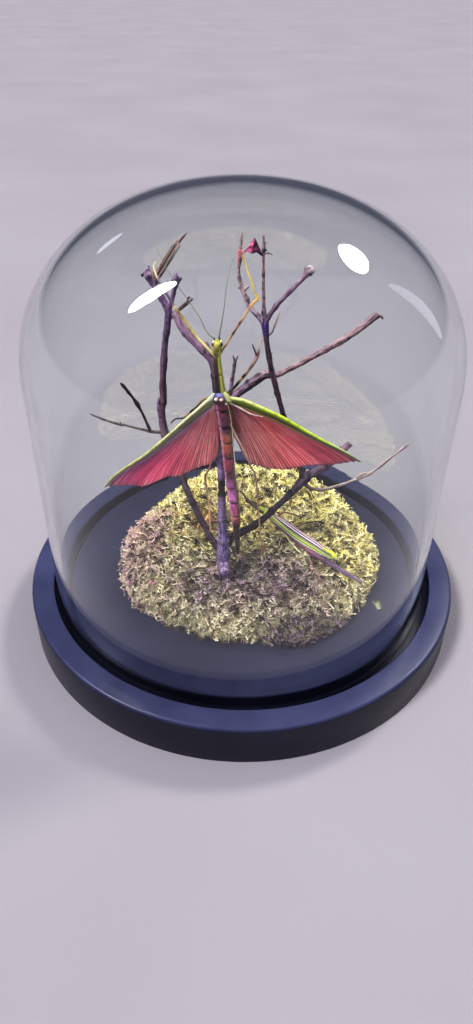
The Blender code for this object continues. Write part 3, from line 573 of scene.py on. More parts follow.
# %% Left twig and its side shoots
twig("left_twig_bark", "left_twig", "twig_bark", [shaded_bark], (1.8, 0.3), limbs("""
left: -6 -21.4 37.5 1.4, -9.2 -18.5 39.2 1.1, -11.2 -16.5 41.6 1.03, -13.2 -14.5 44.5 1.03, -16.9 -11 51 1.05,
 -20.1 -8.5 57.9 1.08, -22.9 -6.5 64.5 1.12, -24.3 -5.3 68 1.15, -25.2 -4.5 71.1 1.35, -25.8 -3.7 77.1 1.1,
 -25.5 -3.4 80 1, -25.2 -3.2 82.1 1.15, -24.9 -2.6 90.3 0.95, -24.6 -2.4 93 1.1, -23.9 -2 99.7 0.95, -22.7 -1.5
 107.3 1, -22.6 -1 110.7 1.2, -23.7 -0.7 112.5 1, -25.6 -0.2 115.8 0.85, -27.2 0.3 118.3 0.95, -27.8 0.5 119.8
 1.3, -27.8 0.8 121 0.95, -27.6 1 122 0.35 | 0 #34222c, 0.35 #463040, 0.5 #6a4e5c, 0.62 #5a4250, 0.85 #6e5684,
 0.96 #a888b8, 1 #e0cfe2;
left_peel: -25.9 -3.9 75.6 0.9, -26.5 -4.1 79.2 0.75, -26.6 -4.2 83 0.42 | 0 #7b5c78, 1 #b294b5;
left_thorn: -27.6 0.5 119.8 0.8, -28.8 0.5 119.9 0.5, -29.8 0.5 119.3 0.35 | 0 #4b3850, 1 #2d2028
""", left={"sides": 12, "nodes": (7.5, 0.3)}, sides=8))
twig("left_fork_twig", "left_twig_right_fork", "twig_bark", [purple_bark], (1.4, 0.25), limbs("""
left_fork: -22.5 -1 110.2 0.9, -21.2 -1 113.4 0.65, -20.5 -1 116 0.7, -20 -1 118.4 1.15, -19.9 -1 119.6 0.8,
 -19.7 -1 120.8 0.3 | 0 #8a74ad, 0.7 #6b4f86, 1 #b79ac9;
fork_barb: -19.8 -1 118.4 0.7, -18.8 -1 119 0.45, -18.3 -1 119.6 0.2 | 0 #3e2c3a, 0.5 #553f50, 1 #6a5160
""", left_fork={"sides": 10, "nodes": (4.0, 0.2)}, sides=8))
twig("spur_twig", "left_twig_spur", "twig_bark", [dark_bark], (1.2, 0.2), limbs("""
spur: -22.8 -1.6 107.2 0.8, -20.9 -1.4 109.2 0.5, -19.1 -1.3 110.6 0.42, -17.2 -0.9 112.1 0.5, -16.4 -0.8 112.6
 0.4, -15.4 -0.5 113.5 0.3 | 0 #4a3a38, 0.5 #8a7468, 1 #b8a498;
spur_tip: -16.8 -0.8 112.5 0.35, -16.6 -0.8 113.6 0.28, -16.1 -0.8 114.1 0.22 | 0 #3e2c3a, 0.5 #553f50, 1
 #6a5160
""", spur={"sides": 10, "nodes": (3.0, 0.18)}, sides=8))
twig("thin_shoot", "left_thin_shoot", "twig_bark", [dark_bark], (1.2, 0.18), limbs("""
thin: -24.4 -4.5 71.2 0.7, -27.5 -3.8 70.7 0.5, -30 -3.2 70.6 0.6, -32 -2.7 70.8 0.4, -34.9 -2 71 0.36, -39 -1
 71.5 0.36, -39.6 -1 71.5 0.55, -40.2 -1 71.6 0.36, -44.6 0 72.4 0.34, -49.8 1 74 0.26 | 0 #5a4a50, 0.4 #4a3e3a,
 1 #5a4c46;
thin_thorn: -39.6 -1 71.3 0.3, -39.8 -1.1 72.6 0.16 | 0 #3e2c3a, 0.5 #553f50, 1 #6a5160
""", thin={"sides": 10, "nodes": (6.0, 0.16)}, sides=8))
twig("thin_shoot_upper", "left_thin_shoot_upper", "twig_bark", [dark_bark], (1.2, 0.18), limbs("""
thin_shoot_upper: -29.9 -3.2 70.4 0.55, -30.9 -4.2 74.8 0.42, -31.9 -5.2 78.8 0.4, -33 -5.8 81.9 0.65, -33.9
 -6.3 84 0.42, -35.2 -7 86.6 0.4, -36.5 -7.8 89.2 0.5, -37 -8 90 0.3 | 0 #4c4038, 0.5 #54463e, 1 #3c302c
""", sides=10, nodes=(6.0, 0.18)))

# %% [markdown]
# The pale peeled twig has lost its bark and splits in long tan fibres, so it is a bundle of a few thin ones.

# %% Peeled twig
twig("peeled_twig_fibres", "peeled_twig", "pale_twig_bark", [pale_bark], (0.9, 0.16), limbs("""
peeled: -25.6 -0.1 117.6 0.6, -24.7 -0.6 120.9 0.78, -23.3 -0.8 122.9 0.85, -21.8 -0.4 124.9 0.8, -19.2 0.4
 128.5 0.6, -17.6 0.8 130.2 0.35, -16.6 1 131 0.2 | 0 #9a7a56, 0.4 #b89468, 0.7 #8a6a58, 1 #7a5f4a;
fibre_a: -25 -1.2 119.2 0.26, -22.4 -1.6 123.4 0.24, -18.7 -0.4 128.7 0.14 | 0 #f0d8a8, 1 #f0d8a8;
fibre_b: -25.2 -1.1 119.9 0.24, -22.8 -1.7 123.7 0.2, -19.6 -0.3 128.3 0.12 | 0 #33231f, 1 #33231f;
fibre_c: -25.4 -0.9 120.5 0.24, -23.5 -1.4 123.9 0.22, -20 -0.2 128.9 0.12 | 0 #d8bc90, 1 #d8bc90;
fibre_d: -24.4 -1 119.4 0.2, -21.8 -1.3 123.2 0.2, -18.4 0 128 0.12 | 0 #4a342c, 1 #4a342c;
fibre_e: -26 -0.5 118.4 0.3, -26.2 -0.9 120.8 0.26, -25.5 -1 122.6 0.14 | 0 #e6c89c, 1 #e6c89c
""", peeled={"sides": 12, "rings": 6, "nodes": (5.0, 0.15)}, sides=8, rings=8))

# %% [markdown]
# The crossing branch starts behind the left twig and runs up to the right, where it was cut. It is purple
# near its foot and bleached to a greyish pink on its far half.

# %% Crossing branch and the forked shoot on it
twig("crossing_branch_bark", "crossing_branch", "pale_twig_bark", [purple_bark, cut_wood], (2.0, 0.32), limbs("""
cross: -24.6 -6.4 65 1.2, -19 -4 69.6 1.2, -14 -2 73.5 1.2, -8 -0.4 78.1 1.28, -2.1 1 82.7 1.3, 0.6 2.2 84.4
 1.4, 3.4 3 86.3 1.5, 5.9 4 87.7 1.5, 8.1 5 87.5 1.25, 10 5.8 86.9 0.95, 13.4 7 88.2 0.85, 17.2 8.2 89.8 0.9, 20
 9 91.1 0.85, 23.3 9.8 92.8 1, 26.4 10.6 94.3 0.92, 29.5 11.4 95.9 1.12, 32 12.1 97.4 0.98, 35.5 13.1 99.8 1.2,
 38 13.8 101.6 1.05, 40.9 14.6 103.8 1.15 | 0 #4a3850, 0.3 #5a446a, 0.42 #4c3a54, 0.47 #3a2c34, 0.52 #7c6660,
 0.6 #9c8278, 0.8 #ae9488, 0.93 #9a7e78, 1 #4a3638;
hook: 40 14.4 103.2 0.8, 41.6 14.7 103.5 0.5, 42.7 14.8 102.4 0.35 | 0 #59484a, 1 #e2cfae
""", cross={"sides": 14, "nodes": (7.0, 0.3)}, sides=8, cut=True))
twig("forked_shoot_bark", "forked_shoot", "twig_bark", [purple_bark], (1.2, 0.2), limbs("""
forked: -4.6 0.5 80.6 1, -4.4 0.3 83.6 0.65, -4 0 87.7 0.6, -3.4 -0.5 91.9 0.5, -3 -0.8 94.4 0.42, -2.3 -1 96.2
 0.22 | 0 #b09ace, 0.4 #a892b4, 0.7 #85807a, 1 #66625a;
tooth: -3.1 -0.7 93.7 0.4, -3.7 -1 96.2 0.2 | 0 #6c6a62, 1 #4c4a45
""", forked={"sides": 10, "nodes": (4.5, 0.18)}, sides=8))

# %% [markdown]
# The right twig leaves the stump, crosses the moss and ends cut off behind the right wing. Near its middle a
# node carries a cut stub, a curl of bark, the thin side branch and the upright twig.

# %% Right twig and its thin branch
right_parts = limbs("""
right: -6 -21.4 39.2 1.6, -3.6 -18.5 41.1 1.35, -0.8 -16.5 41.6 1.3, 2.5 -14.3 42.1 1.25, 5.1 -12.6 42.9 1.25,
 7.7 -11 44.2 1.1, 9.7 -9.6 45.5 1.03, 12.6 -7.9 47.8 1.02, 15.6 -6 50 1.08, 18.2 -4.3 51.9 1.35, 20 -3 53.4
 1.65, 22.8 -2 54.6 1.2, 26 -0.9 55.9 1.15, 28.7 0 57.2 1.15, 31 0.8 59.8 1.1, 33.2 1.5 62.2 1.15, 35.3 2.3 64
 1.1 | 0 #1c1216, 0.3 #24181f, 0.5 #3c2a4a, 0.7 #4a3458, 0.85 #5a3a50, 1 #9a7a90;
stub: 20 -3.2 53.6 1, 21 -3.5 56 0.75, 21.2 -3.6 56.9 0.7 | 0 #5a4652, 1 #b9a3a8
""", right={"sides": 14, "nodes": (7.0, 0.32)}, cut=True)
curl_bends = [(18.4 + 0.9 * math.cos(a), -4.6, 57.4 + 0.9 * math.sin(a), 0.3 - 0.02 * i)
              for i, a in enumerate(np.linspace(-1.2, 3.9, 7))]
curl = draw_limb("curl", [(19.4, -3.6, 53.8, 0.5)] + curl_bends, "0 #3d2c38, 1 #2c2129", sides=8)
twig("right_twig_bark", "right_twig", "twig_bark", [shaded_bark, cut_wood], (1.8, 0.3), [*right_parts, curl])
twig("right_thin_branch_bark", "right_thin_branch", "pale_twig_bark", [pale_bark], (1.3, 0.22), limbs("""
thin_branch: 20.2 -3 52.9 0.8, 21.6 -2.4 50.6 0.6, 23 -1.8 49.4 0.5, 26.5 -0.5 48.2 0.52, 30 0.8 48.1 0.45, 33.5
 2 48.4 0.48, 37 3.3 49 0.45, 39.7 4.2 49.7 0.7, 41.2 4.6 50.2 0.55, 43.2 5.1 51 0.62, 45.4 5.7 52.3 0.42, 49
 6.5 54.6 0.4, 53 7.3 57.6 0.36, 57 8 60.2 0.28 | 0 #54434c, 0.3 #9a8c80, 0.55 #8e8278, 0.62 #5b4d4c, 0.8
 #6a4a50, 1 #4f3740;
flake: 38.8 4 50 0.5, 40.2 4.2 51.4 0.32, 42.4 4.6 51.9 0.2 | 0 #a79a86, 1 #c8bca4
""", thin_branch={"sides": 10, "nodes": (6.0, 0.2)}, sides=8))

# %% Upright twig and its forks
twig("upright_twig_bark", "upright_twig", "twig_bark", [shaded_bark], (1.5, 0.24), limbs("""
upright: 20 -3 52.9 1.3, 19.2 -3.1 56.2 0.95, 18.6 -3.3 58.8 0.88, 16.8 -3.6 64.4 0.88, 14.9 -4 70.1 0.82, 13.4
 -4.6 74.6 0.92, 12.3 -5 77.8 0.78, 10 -6 85.9 0.76, 8.8 -6.6 90.5 0.85, 7.8 -7 94.3 0.74, 6.8 -7.7 99 0.8, 6.1
 -8.2 103 0.74, 5.2 -9 109.9 1.05, 4.9 -9.1 112 0.66, 4.7 -9.2 115.5 0.5, 4.4 -9.6 122.3 0.42, 4.2 -9.8 129
 0.36, 4.2 -9.9 131 0.42, 4 -10 133.6 0.26 | 0 #5a4458, 0.3 #5c4654, 0.5 #745a6a, 0.665 #6e5062, 0.69 #7050b0,
 0.715 #7050b0, 0.74 #c0a0a8, 0.9 #d8bab4, 1 #c0a4a0
""", nodes=(7.5, 0.26)), limbs("""
thorn_a: 4.2 -9.8 129.6 0.3, 5.1 -9.6 129.9 0.16 | 0 #3a2a34, 1 #281d22;
thorn_b: 4.2 -10 131.2 0.26, 4.8 -9.7 131.9 0.12 | 0 #3a2a34, 1 #281d22;
thorn_c: 6.8 -7.7 99.2 0.4, 7.6 -8 100.4 0.2 | 0 #3a2a34, 1 #281d22;
wisp: 4.4 -9.9 129 0.18, 5.6 -9.6 129.1 0.18, 6.6 -9.4 128.6 0.12 | 0 #a88a78, 1 #d0ac94
""", wisp={"rings": 6}, sides=6, rings=3))
twig("upright_left_fork", "upright_twig_left_fork", "pale_twig_bark", [pale_bark], (1.2, 0.2), limbs("""
fork_left: 5.4 -9 109.4 0.9, 3 -8.9 112.2 0.68, 1 -8.9 114.3 0.68, 0 -8.7 116.6 0.64, -1 -8.6 118.8 0.72, -1.6
 -8.5 120.8 0.5, -2.2 -8.4 122.6 0.46, -2.2 -8.3 125 0.42, -2 -8.2 127.6 0.42, -1.8 -8.1 130 0.34, -1.5 -8 133.8
 0.26 | 0 #8a6cc0, 0.12 #d2b8d8, 0.3 #ecd6dc, 0.55 #d0b2b4, 0.75 #c09a8c, 1 #d0b4a4;
bud_a: -1 -8.6 118.8 0.5, 0.5 -8.8 120.1 0.36 | 0 #c7a99c, 1 #ead3bd;
bud_b: -1.3 -8.6 119.4 0.42, -2.6 -8.8 119.9 0.3 | 0 #c7a99c, 1 #ead3bd;
bud_c: -2 -8.2 127.6 0.4, -1.1 -8.4 128.8 0.2 | 0 #c7a99c, 1 #ead3bd
""", fork_left={"sides": 10, "rings": 6, "nodes": (4.5, 0.22)}, sides=8, rings=5))
twig("upright_right_fork", "upright_twig_right_fork", "twig_bark", [purple_bark], (1.3, 0.22), limbs("""
fork_right: 5.2 -9 110.2 0.85, 7.4 -8.5 113.5 0.64, 10 -7.9 116.6 0.62, 12 -7.3 118.6 0.7, 14.1 -6.8 120.7 0.64,
 15.7 -6.3 122.4 0.8, 16.7 -6 123.5 1.4, 17.4 -6 124 1.25, 18 -6 124.4 0.5 | 0 #4a3258, 0.3 #6a4c78, 0.6
 #8a6c90, 0.85 #8f7290, 0.91 #e4d8dc, 1 #f2e8ea
""", sides=10, nodes=(5.0, 0.22)))

# %% [markdown]
# ## The moss cushion
# Dried feather moss was teased off the ground in one pad. Each shoot is a few millimetres long, with scale
# leaves that overlap like a plait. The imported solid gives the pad's form, so a slightly smaller copy of it
# is the dark mat underneath, and leafy shoots grow out of it until their tips reach the solid's surface.

# %% Dark mat under the shoots
MAT_INSET, MAT_LOW, SHOOTS_LOW, CRUMB_LOW = 1.9, 15.25, 15.15, 15.1  # mm; the board's top is at 15


def stand(name, mesh):
    """A new object in the scene for a mesh."""
    piece = bpy.data.objects.new(name, mesh)
    bpy.context.collection.objects.link(piece)
    return piece


cad_moss = frame["nodes"]["moss_cushion"]
mat_mesh = cad_moss.data.copy()
form = bmesh.new()
form.from_mesh(mat_mesh)
bmesh.ops.remove_doubles(form, verts=form.verts, dist=2e-5)
form.normal_update()
moss_skin = BVHTree.FromBMesh(form)
for vertex in form.verts:
    inward = -vertex.normal * MAT_INSET * MM
    inward.z = max(inward.z, MAT_LOW * MM - vertex.co.z)
    vertex.co += inward
form.to_mesh(mat_mesh)
form.free()
moss_mat = stand("moss_mat", mat_mesh)
finish_with(moss_mat, "SUBSURF", levels=2, render_levels=2)
roughen(moss_mat, 2.4, 2.2)

# %% One leafy shoot


def weld(threshold):
    """Merge the points of the active object that are closer than the threshold, and turn its faces outwards."""
    bpy.ops.object.mode_set(mode="EDIT")
    bpy.ops.mesh.select_all(action="SELECT")
    bpy.ops.mesh.remove_doubles(threshold=threshold)
    bpy.ops.mesh.normals_make_consistent(inside=False)
    bpy.ops.object.mode_set(mode="OBJECT")


def leafy_strand(width, leaves=5, sides=4):
    """A strand of overlapping scale leaves, one long: a grid rolled to a closed, tapering and twisted tube."""
    steps = leaves * 2
    bpy.ops.mesh.primitive_grid_add(x_subdivisions=sides, y_subdivisions=steps, size=2)
    strand = bpy.context.object
    for vertex in strand.data.vertices:
        around, share = (vertex.co.x + 1) * math.pi, (vertex.co.y + 1) / 2
        step = round(share * steps)
        radius = 0.0 if step in (0, steps) else width * (1.0 if step % 2 else 0.5) * (1.0 - 0.6 * share)
        angle = around + 3 * math.pi * share
        lean = 0.35 / steps if step % 2 else 0.0
        vertex.co = (share + lean * (radius > 0), radius * math.cos(angle), radius * 0.7 * math.sin(angle))
    weld(1e-5)
    return strand


def leaflet(root, angle, size, tilt):
    """One pointed leaflet: a cone of three sides that leans towards the tip of its shoot."""
    bpy.ops.mesh.primitive_cone_add(vertices=3, radius1=size * 0.155, depth=size, end_fill_type="NGON")
    made = bpy.context.object
    lain = Matrix.Translation((size / 2, 0, 0)) @ Matrix.Rotation(math.pi / 2, 4, "Y")
    turned = Matrix.Rotation(angle, 4, "Z") @ Matrix.Rotation(tilt, 4, "Y")
    made.data.transform(Matrix.Translation((root, 0, 0)) @ turned @ lain)
    return made


def feather(pairs, longest, spread):
    """A feather-like shoot: a strand with pairs of leaflets that get shorter towards its tip."""
    parts = [leafy_strand(0.065, leaves=4, sides=3)]
    for i in range(pairs):
        place = 0.12 + 0.74 * i / (pairs - 1)
        size = longest * (1.0 - 0.55 * place)
        parts += [leaflet(place, spread, size, -0.25), leaflet(place + 0.04, -spread, size * 0.9, -0.2)]
    return parts


shoot_kinds = []
for parts in ([leafy_strand(0.085)], feather(5, 0.38, 0.75), feather(6, 0.3, 0.9)):
    whole = join("shoot", parts)
    shoot_kinds.append((np.array([v.co for v in whole.data.vertices]),
                        [list(p.vertices) for p in whole.data.polygons]))
    bpy.data.objects.remove(whole)
print("faces of each shoot kind:", [len(faces) for _, faces in shoot_kinds])

# %% Where the shoots grow
chance = np.random.default_rng(7)
corners = np.array([[cad_moss.data.vertices[i].co for i in p.vertices] for p in cad_moss.data.polygons], float)
edge_a, edge_b = corners[:, 1] - corners[:, 0], corners[:, 2] - corners[:, 0]
normals = np.cross(edge_a, edge_b)
areas = np.linalg.norm(normals, axis=1) / 2
normals /= 2 * areas[:, None]
open_side = normals[:, 2] > -0.35


def sample_moss(count):
    """Random points on the open side of the pad, with the normals there."""
    weight = areas * open_side
    chosen = chance.choice(len(areas), count, p=weight / weight.sum())
    a, b = chance.random((2, count))
    swap = a + b > 1
    a[swap], b[swap] = 1 - a[swap], 1 - b[swap]
    return corners[chosen, 0] + edge_a[chosen] * a[:, None] + edge_b[chosen] * b[:, None], normals[chosen]


# %% [markdown]
# The pad isn't one colour. Behind and to the right it is yellow-green, at the left rim pinkish brown, around
# the foot of the stem greyish mauve, rusty behind it, and at the front olive with cream tips. Each shoot picks
# its own hue. Shade is painted into the hollow under the right twig and, dark mauve, along the torn edge at the
# front right; the back and the right edge are painted lighter, as if lit.

# %% Hue of each shoot
MOSS_HUES = [[linear(hue)[:3] for hue in lot.split()] for lot in (
    "#d8ce7c #c6bf60 #efe8b4 #aaa75a", "#b08486 #b892a4 #8e6a6c #a28480", "#84687e #a284a4 #684f60 #7c626c",
    "#beb68c #a8a078 #dcd6b4 #9a9868", "#9a6436 #7c462a #b08444 #5e3824")]  # yellow, pink, mauve, olive, rust


def clip(v):
    """Keep values between zero and one."""
    return np.clip(v, 0, 1)


def shaded_torn_edge(x, y):
    """One along the torn edge at the front right, where shade is painted, zero elsewhere."""
    return clip((x - 4) / 6) * clip((-34 - y + 0.35 * np.clip(x - 14, 0, 12)) / 4)


def rusty_patch(x, y):
    """One in the middle of the rusty patch behind the stem, less around it."""
    return np.exp(-((x + 13.5) / 7.5) ** 2 - ((y - 4) / 8) ** 2)


def moss_hues(x, y):
    """The hue of each shoot by its place in mm: back, left, middle and front, each with its own four dyes."""
    drift = chance.normal(0, 4.0, len(x)) + 4.0 * np.sin(x / 7.0) * np.cos(y / 9.0)
    yellow = clip((y + drift + 13 + np.clip(x - 18, 0, 20) * 0.7) / 10)
    pink = clip((-x - 25 + drift) / 8) * clip((20 - y) / 14)
    # The torn edge at the front right turns mauve as part of its painted shade.
    mauve = np.maximum(clip(1.75 - np.hypot((x - 4 + drift) / 20, (y + 23) / 9)), shaded_torn_edge(x, y))
    shares = np.stack([yellow * (1 - pink), pink, mauve * (1 - yellow) * (1 - pink), np.zeros(len(x))], axis=1)
    shares[:, 3] = clip(1 - shares.sum(1))
    shares /= shares.sum(1, keepdims=True)
    rust = rusty_patch(x + drift / 2, y)[:, None]
    shares = np.concatenate([shares * (1 - rust), rust], axis=1)
    lot = chance.integers(0, 4, len(x))
    return np.einsum("nk,nkc->nc", shares, np.array(MOSS_HUES)[:, lot].transpose(1, 0, 2))


def moss_shade(x, y):
    """How much painted light and how much cream each place keeps: less in the hollow and at the torn edge, more at
    the right.
    """
    dark = np.maximum(np.exp(-((x - 2) / 6) ** 2 - ((y + 10.5) / 4) ** 2), shaded_torn_edge(x, y))
    mauve_heart = clip(1.4 - np.hypot((x - 4) / 18, (y + 23) / 8))
    light = (1 - 0.55 * dark) * (1 - 0.1 * mauve_heart) * (1 + 0.22 * clip((x - 22) / 10))
    return light, 1 - np.maximum(0.75 * dark, np.maximum(0.5 * mauve_heart, 0.75 * rusty_patch(x, y)))


# %% [markdown]
# Dried moss is matt and fibrous. Its stems are brown and the thin leaf tips are bleached to cream, and at the
# roots, deep in the pad, painted shade takes it almost to black, so the colour runs from root to tip along each
# shoot. Fewer tips turn cream where shade is painted.

# %% Dried moss
dried_moss = new_finish("dried_feather_moss")
dye = node(dried_moss, "Attribute", attribute_name="dye")
to_tip = node(dried_moss, "Attribute", out="Fac", attribute_name="to_tip")
own = node(dried_moss, "Attribute", out="Fac", attribute_name="chance")
speckle = node(dried_moss, "TexNoise", {"Scale": 700.0, "Detail": 2.0,
                                        "Vector": node(dried_moss, "TexCoord", out="Object")})
# Painted shade: the roots of the shoots near black, lighter towards the tips.
depth = node(dried_moss, "ValToRGB", {"Fac": to_tip}, "0 #2a1f18, 0.3 #6f6252, 0.62 #e2dccb, 0.9 #ffffff")
shade = node(dried_moss, "Mix", {0: 1.0, A: dye, B: depth}, **OVER)
tip_share = node(dried_moss, "MapRange", {"From Min": 0.45, "From Max": 1.0, "To Max": 0.95, "Value": to_tip})
tip_part = node(dried_moss, "Math", {0: tip_share, 1: own}, operation="MULTIPLY")
tipped = node(dried_moss, "Mix", {0: tip_part, A: shade, B: linear("#f3ecc8")}, **MIX)
ridges_or_speckle = node(dried_moss, "ValToRGB", {"Fac": speckle}, "0.35 #7d7266, 0.55 #ffffff")
moss_tone = node(dried_moss, "Mix", {0: 0.7, A: tipped, B: ridges_or_speckle}, **OVER)
show(dried_moss, node(dried_moss, "BsdfPrincipled", {"Roughness": 0.8, "Specular IOR Level": 0.3, "Sheen Weight": 0.1,
                                                     "Sheen Roughness": 0.5, "Base Color": moss_tone}))
soil = new_finish("dark_moss_mat")
clump = node(soil, "TexNoise", {"Scale": 700.0, "Detail": 4.0, "Roughness": 0.7,
                                "Vector": node(soil, "TexCoord", out="Object")})
tone = node(soil, "ValToRGB", {"Fac": clump}, "0.35 #14100e, 0.55 #33291f, 0.72 #5b4b33")
bump = node(soil, "Bump", {"Strength": 0.9, "Distance": 0.0008, "Height": clump})
show(soil, node(soil, "BsdfPrincipled", {"Roughness": 0.95, "Base Color": tone, "Normal": bump}))
moss_mat.data.materials.append(soil)
settle(moss_mat, "dried_moss", "moss_cushion")

# %% Grow the shoots


def moss_piece(name, cad_node, points, faces, dye, to_tip, own):
    """One piece of shoots, with each point's hue and painted light, the share of its shoot's length and
    its chance number.
    """
    mesh = bpy.data.meshes.new(name)
    mesh.from_pydata(points.tolist(), [], faces)
    piece = stand(name, mesh)
    mark(piece, "dye", "FLOAT_COLOR", dye)
    mark(piece, "to_tip", "FLOAT", clip(to_tip))
    mark(piece, "chance", "FLOAT", own)
    mesh.materials.append(dried_moss)
    settle(piece, "dried_moss", cad_node)


def grow_shoots(name, kind, count, shortest, longest, lift):
    """Copies of one shoot, each with its own place, direction, length, bend and hue, as one piece."""
    shape, faces = shoot_kinds[kind]
    spot, normal = sample_moss(count)
    outward = unit((spot - np.array([0.003, 0.001, 0.02])) * [1, 1, 0.3])
    wander = unit(chance.normal(size=(count, 3)))
    lying = wander - normal * (wander * normal).sum(1, keepdims=True) * 0.9
    direction = unit(unit(lying) + outward * 0.6 + normal * chance.uniform(-0.1, lift, (count, 1)) + [0, 0, 0.1])
    side = unit(np.cross(direction, normal + wander * 0.5))
    size = chance.uniform(shortest, longest, (count, 1)) * MM
    curl = unit(chance.normal(size=(count, 3)) * 0.6 - normal * 0.7) * chance.uniform(0.08, 0.34, (count, 1)) * size
    start = (spot - direction * size * chance.uniform(0.5, 0.85, (count, 1))
             - normal * chance.uniform(0.0, 1.3, (count, 1)) * MM)
    reach = shape[:, 0]
    place = start[:, None]
    for axis, way in enumerate((direction, side, np.cross(side, direction))):
        place = place + way[:, None] * shape[None, :, axis:axis + 1] * size[:, None]
    place = place + curl[:, None] * (reach ** 2)[None, :, None]
    place[..., 2] = np.maximum(place[..., 2], SHOOTS_LOW * MM)
    tips = place[:, np.argmax(reach)]
    proud = np.zeros(count)
    for i, tip in enumerate(tips):
        hit, way, _, _ = moss_skin.find_nearest(Vector(tip))
        proud[i] = (Vector(tip) - hit).dot(way) / MM
    keep = proud < np.interp(tips[:, 2] / MM, [16, 24], [0.2, 1.7])
    x, y = spot[:, 0] / MM, spot[:, 1] / MM
    hue = moss_hues(x, y)[keep]
    place, proud, x, y = place[keep], proud[keep], x[keep], y[keep]
    light, cream = moss_shade(x, y)
    # Painted light and shade: the back of the pad up to a third lighter, shoots whose tips lie deep in the pad darker
    # and those that stand proud lighter, each also with a random tone of its own.
    light = light * np.interp(y, [-12, 8], [1.0, 1.32])
    hue *= (np.clip(1.0 + 0.4 * proud, 0.22, 1.5) * chance.uniform(0.62, 1.35, len(proud)) * light)[:, None]
    hue = np.concatenate([hue, np.ones((len(hue), 1))], axis=1)
    per = len(shape)
    every = [[i * per + v for v in face] for i in range(len(place)) for face in faces]
    own = np.repeat(chance.random(len(place)) * cream, per)
    moss_piece(name, "moss_cushion", place.reshape(-1, 3), every, np.repeat(hue, per, axis=0),
               np.tile(reach + 0.6 * np.abs(shape[:, 1]), len(place)), own)
    print(len(place), "of", count, "shoots kept")


grow_shoots("moss_plain_shoots", 0, 2100, 4.5, 8.0, 0.8)
grow_shoots("moss_wide_feathers", 1, 1900, 5.0, 8.5, 0.7)
grow_shoots("moss_long_feathers", 2, 1600, 6.0, 10.0, 0.55)

# %% [markdown]
# One scrap of moss has dropped off and lies on the board at the right: three shoots twisted together.

# %% Moss crumb
shape, faces = shoot_kinds[1]
scraps = []
for turn, tilt, size, *shift in rows("""
-1.12 0.1 4.8 45 -19.4 15.9, -1.35 0.25 4 45.6 -19.8 16.2, -0.85 0 3.6 45.2 -20.2 16
""", 6):
    spin = np.array(Matrix.Rotation(turn, 3, "Z") @ Matrix.Rotation(tilt, 3, "Y"))
    scraps.append((shape * [1, 1.6, 1.6] * size * MM) @ spin.T + np.array(shift) * MM)
places = np.concatenate(scraps)
places[:, 2] = np.maximum(places[:, 2], CRUMB_LOW * MM)
moss_piece("moss_scrap", "moss_crumb", places, [[v + i * len(shape) for v in f] for i in range(3) for f in faces],
           np.tile(linear("#6f8a48"), len(places)), np.tile(shape[:, 0], 3) + 0.3, np.full(len(places), 0.6))

# %% [markdown]
# ## The large insect
# It is a female winged stick insect, dried and pinned with her wings spread. The trunk is one tube with a
# ring at each joint: a knobbly head, a long thorax and an eleven-ringed abdomen. The rings come from the
# radius, which dips at each joint.

# %% Ringed trunk


def ringed(text, rings, dip=0.82):
    """Bends along a trunk, from a table of them, with a groove at each joint between its rings."""
    p = np.array(rows(text, 4))
    run = along(p[:, :3])
    made = []
    for i in range(rings):
        for share, swell in ((0.0, dip), (0.12, 1.02), (0.5, 1.0), (0.9, 1.06)):
            at = run[-1] * (i + share) / rings
            x, y, z, r = (np.interp(at, run, p[:, k]) for k in range(4))
            made.append((x, y, z, r * swell))
    return made + [tuple(p[-1])]


ABDOMEN_RINGS = 11
head_and_thorax = rows("""
-7.45 -25 111.8 0.35, -7.4 -25 111.2 0.95, -7.4 -25 110.2 1.2, -7.5 -24.9 108.9 1.2, -7.5 -24.85 107.6 0.95,
-7.5 -24.8 107.1 0.8
""", 4) + ringed("""
-7.5 -24.8 107 0.9, -7.4 -24.8 104.3 1.1, -7 -24.8 99.8 1.3, -6.7 -24.8 96.5 1.5
""", 2, dip=0.88)[:-1]
abdomen = ringed("""
-6.6 -24.8 96.2 1.65, -6.1 -24.8 92.4 1.95, -5.4 -24.8 87.6 1.98, -4.8 -24.8 81.1 1.85, -4.1 -24.9 70.9 1.58,
-3.1 -25 63.8 1.6, -2.2 -25 55.7 1.48, -1.6 -25 46.7 0.9, -1.15 -25 40.2 0.5
""", ABDOMEN_RINGS)
trunk = draw_limb("trunk", head_and_thorax + abdomen, """
0 #c2b94a, 0.045 #9a9238, 0.075 #4c4422, 0.1 #2e1b20, 0.19 #2a171e, 0.22 #351a20, 0.26 #5a222c, 0.29 #6a2c38,
0.33 #5c3444, 0.38 #5a2c36, 0.4 #a85438, 0.47 #9c4630, 0.49 #4a161e, 0.52 #96203f, 0.56 #7a1c38, 0.59 #4c162a,
0.615 #8e3f7a, 0.65 #b8649c, 0.69 #d880b8, 0.73 #bc5c92, 0.76 #b8547a, 0.785 #d07c74, 0.81 #8c3444, 0.84
#34121c, 0.9 #1e0d12, 1 #160a0c
""", sides=20, rings=3)
head_long = along(np.array(head_and_thorax + abdomen[:1])[:, :3])[-1]
ring_long = along(np.array(abdomen)[:, :3])[-1] / ABDOMEN_RINGS
print("head and thorax", round(head_long, 1), "mm long, each abdomen ring", round(ring_long, 1))
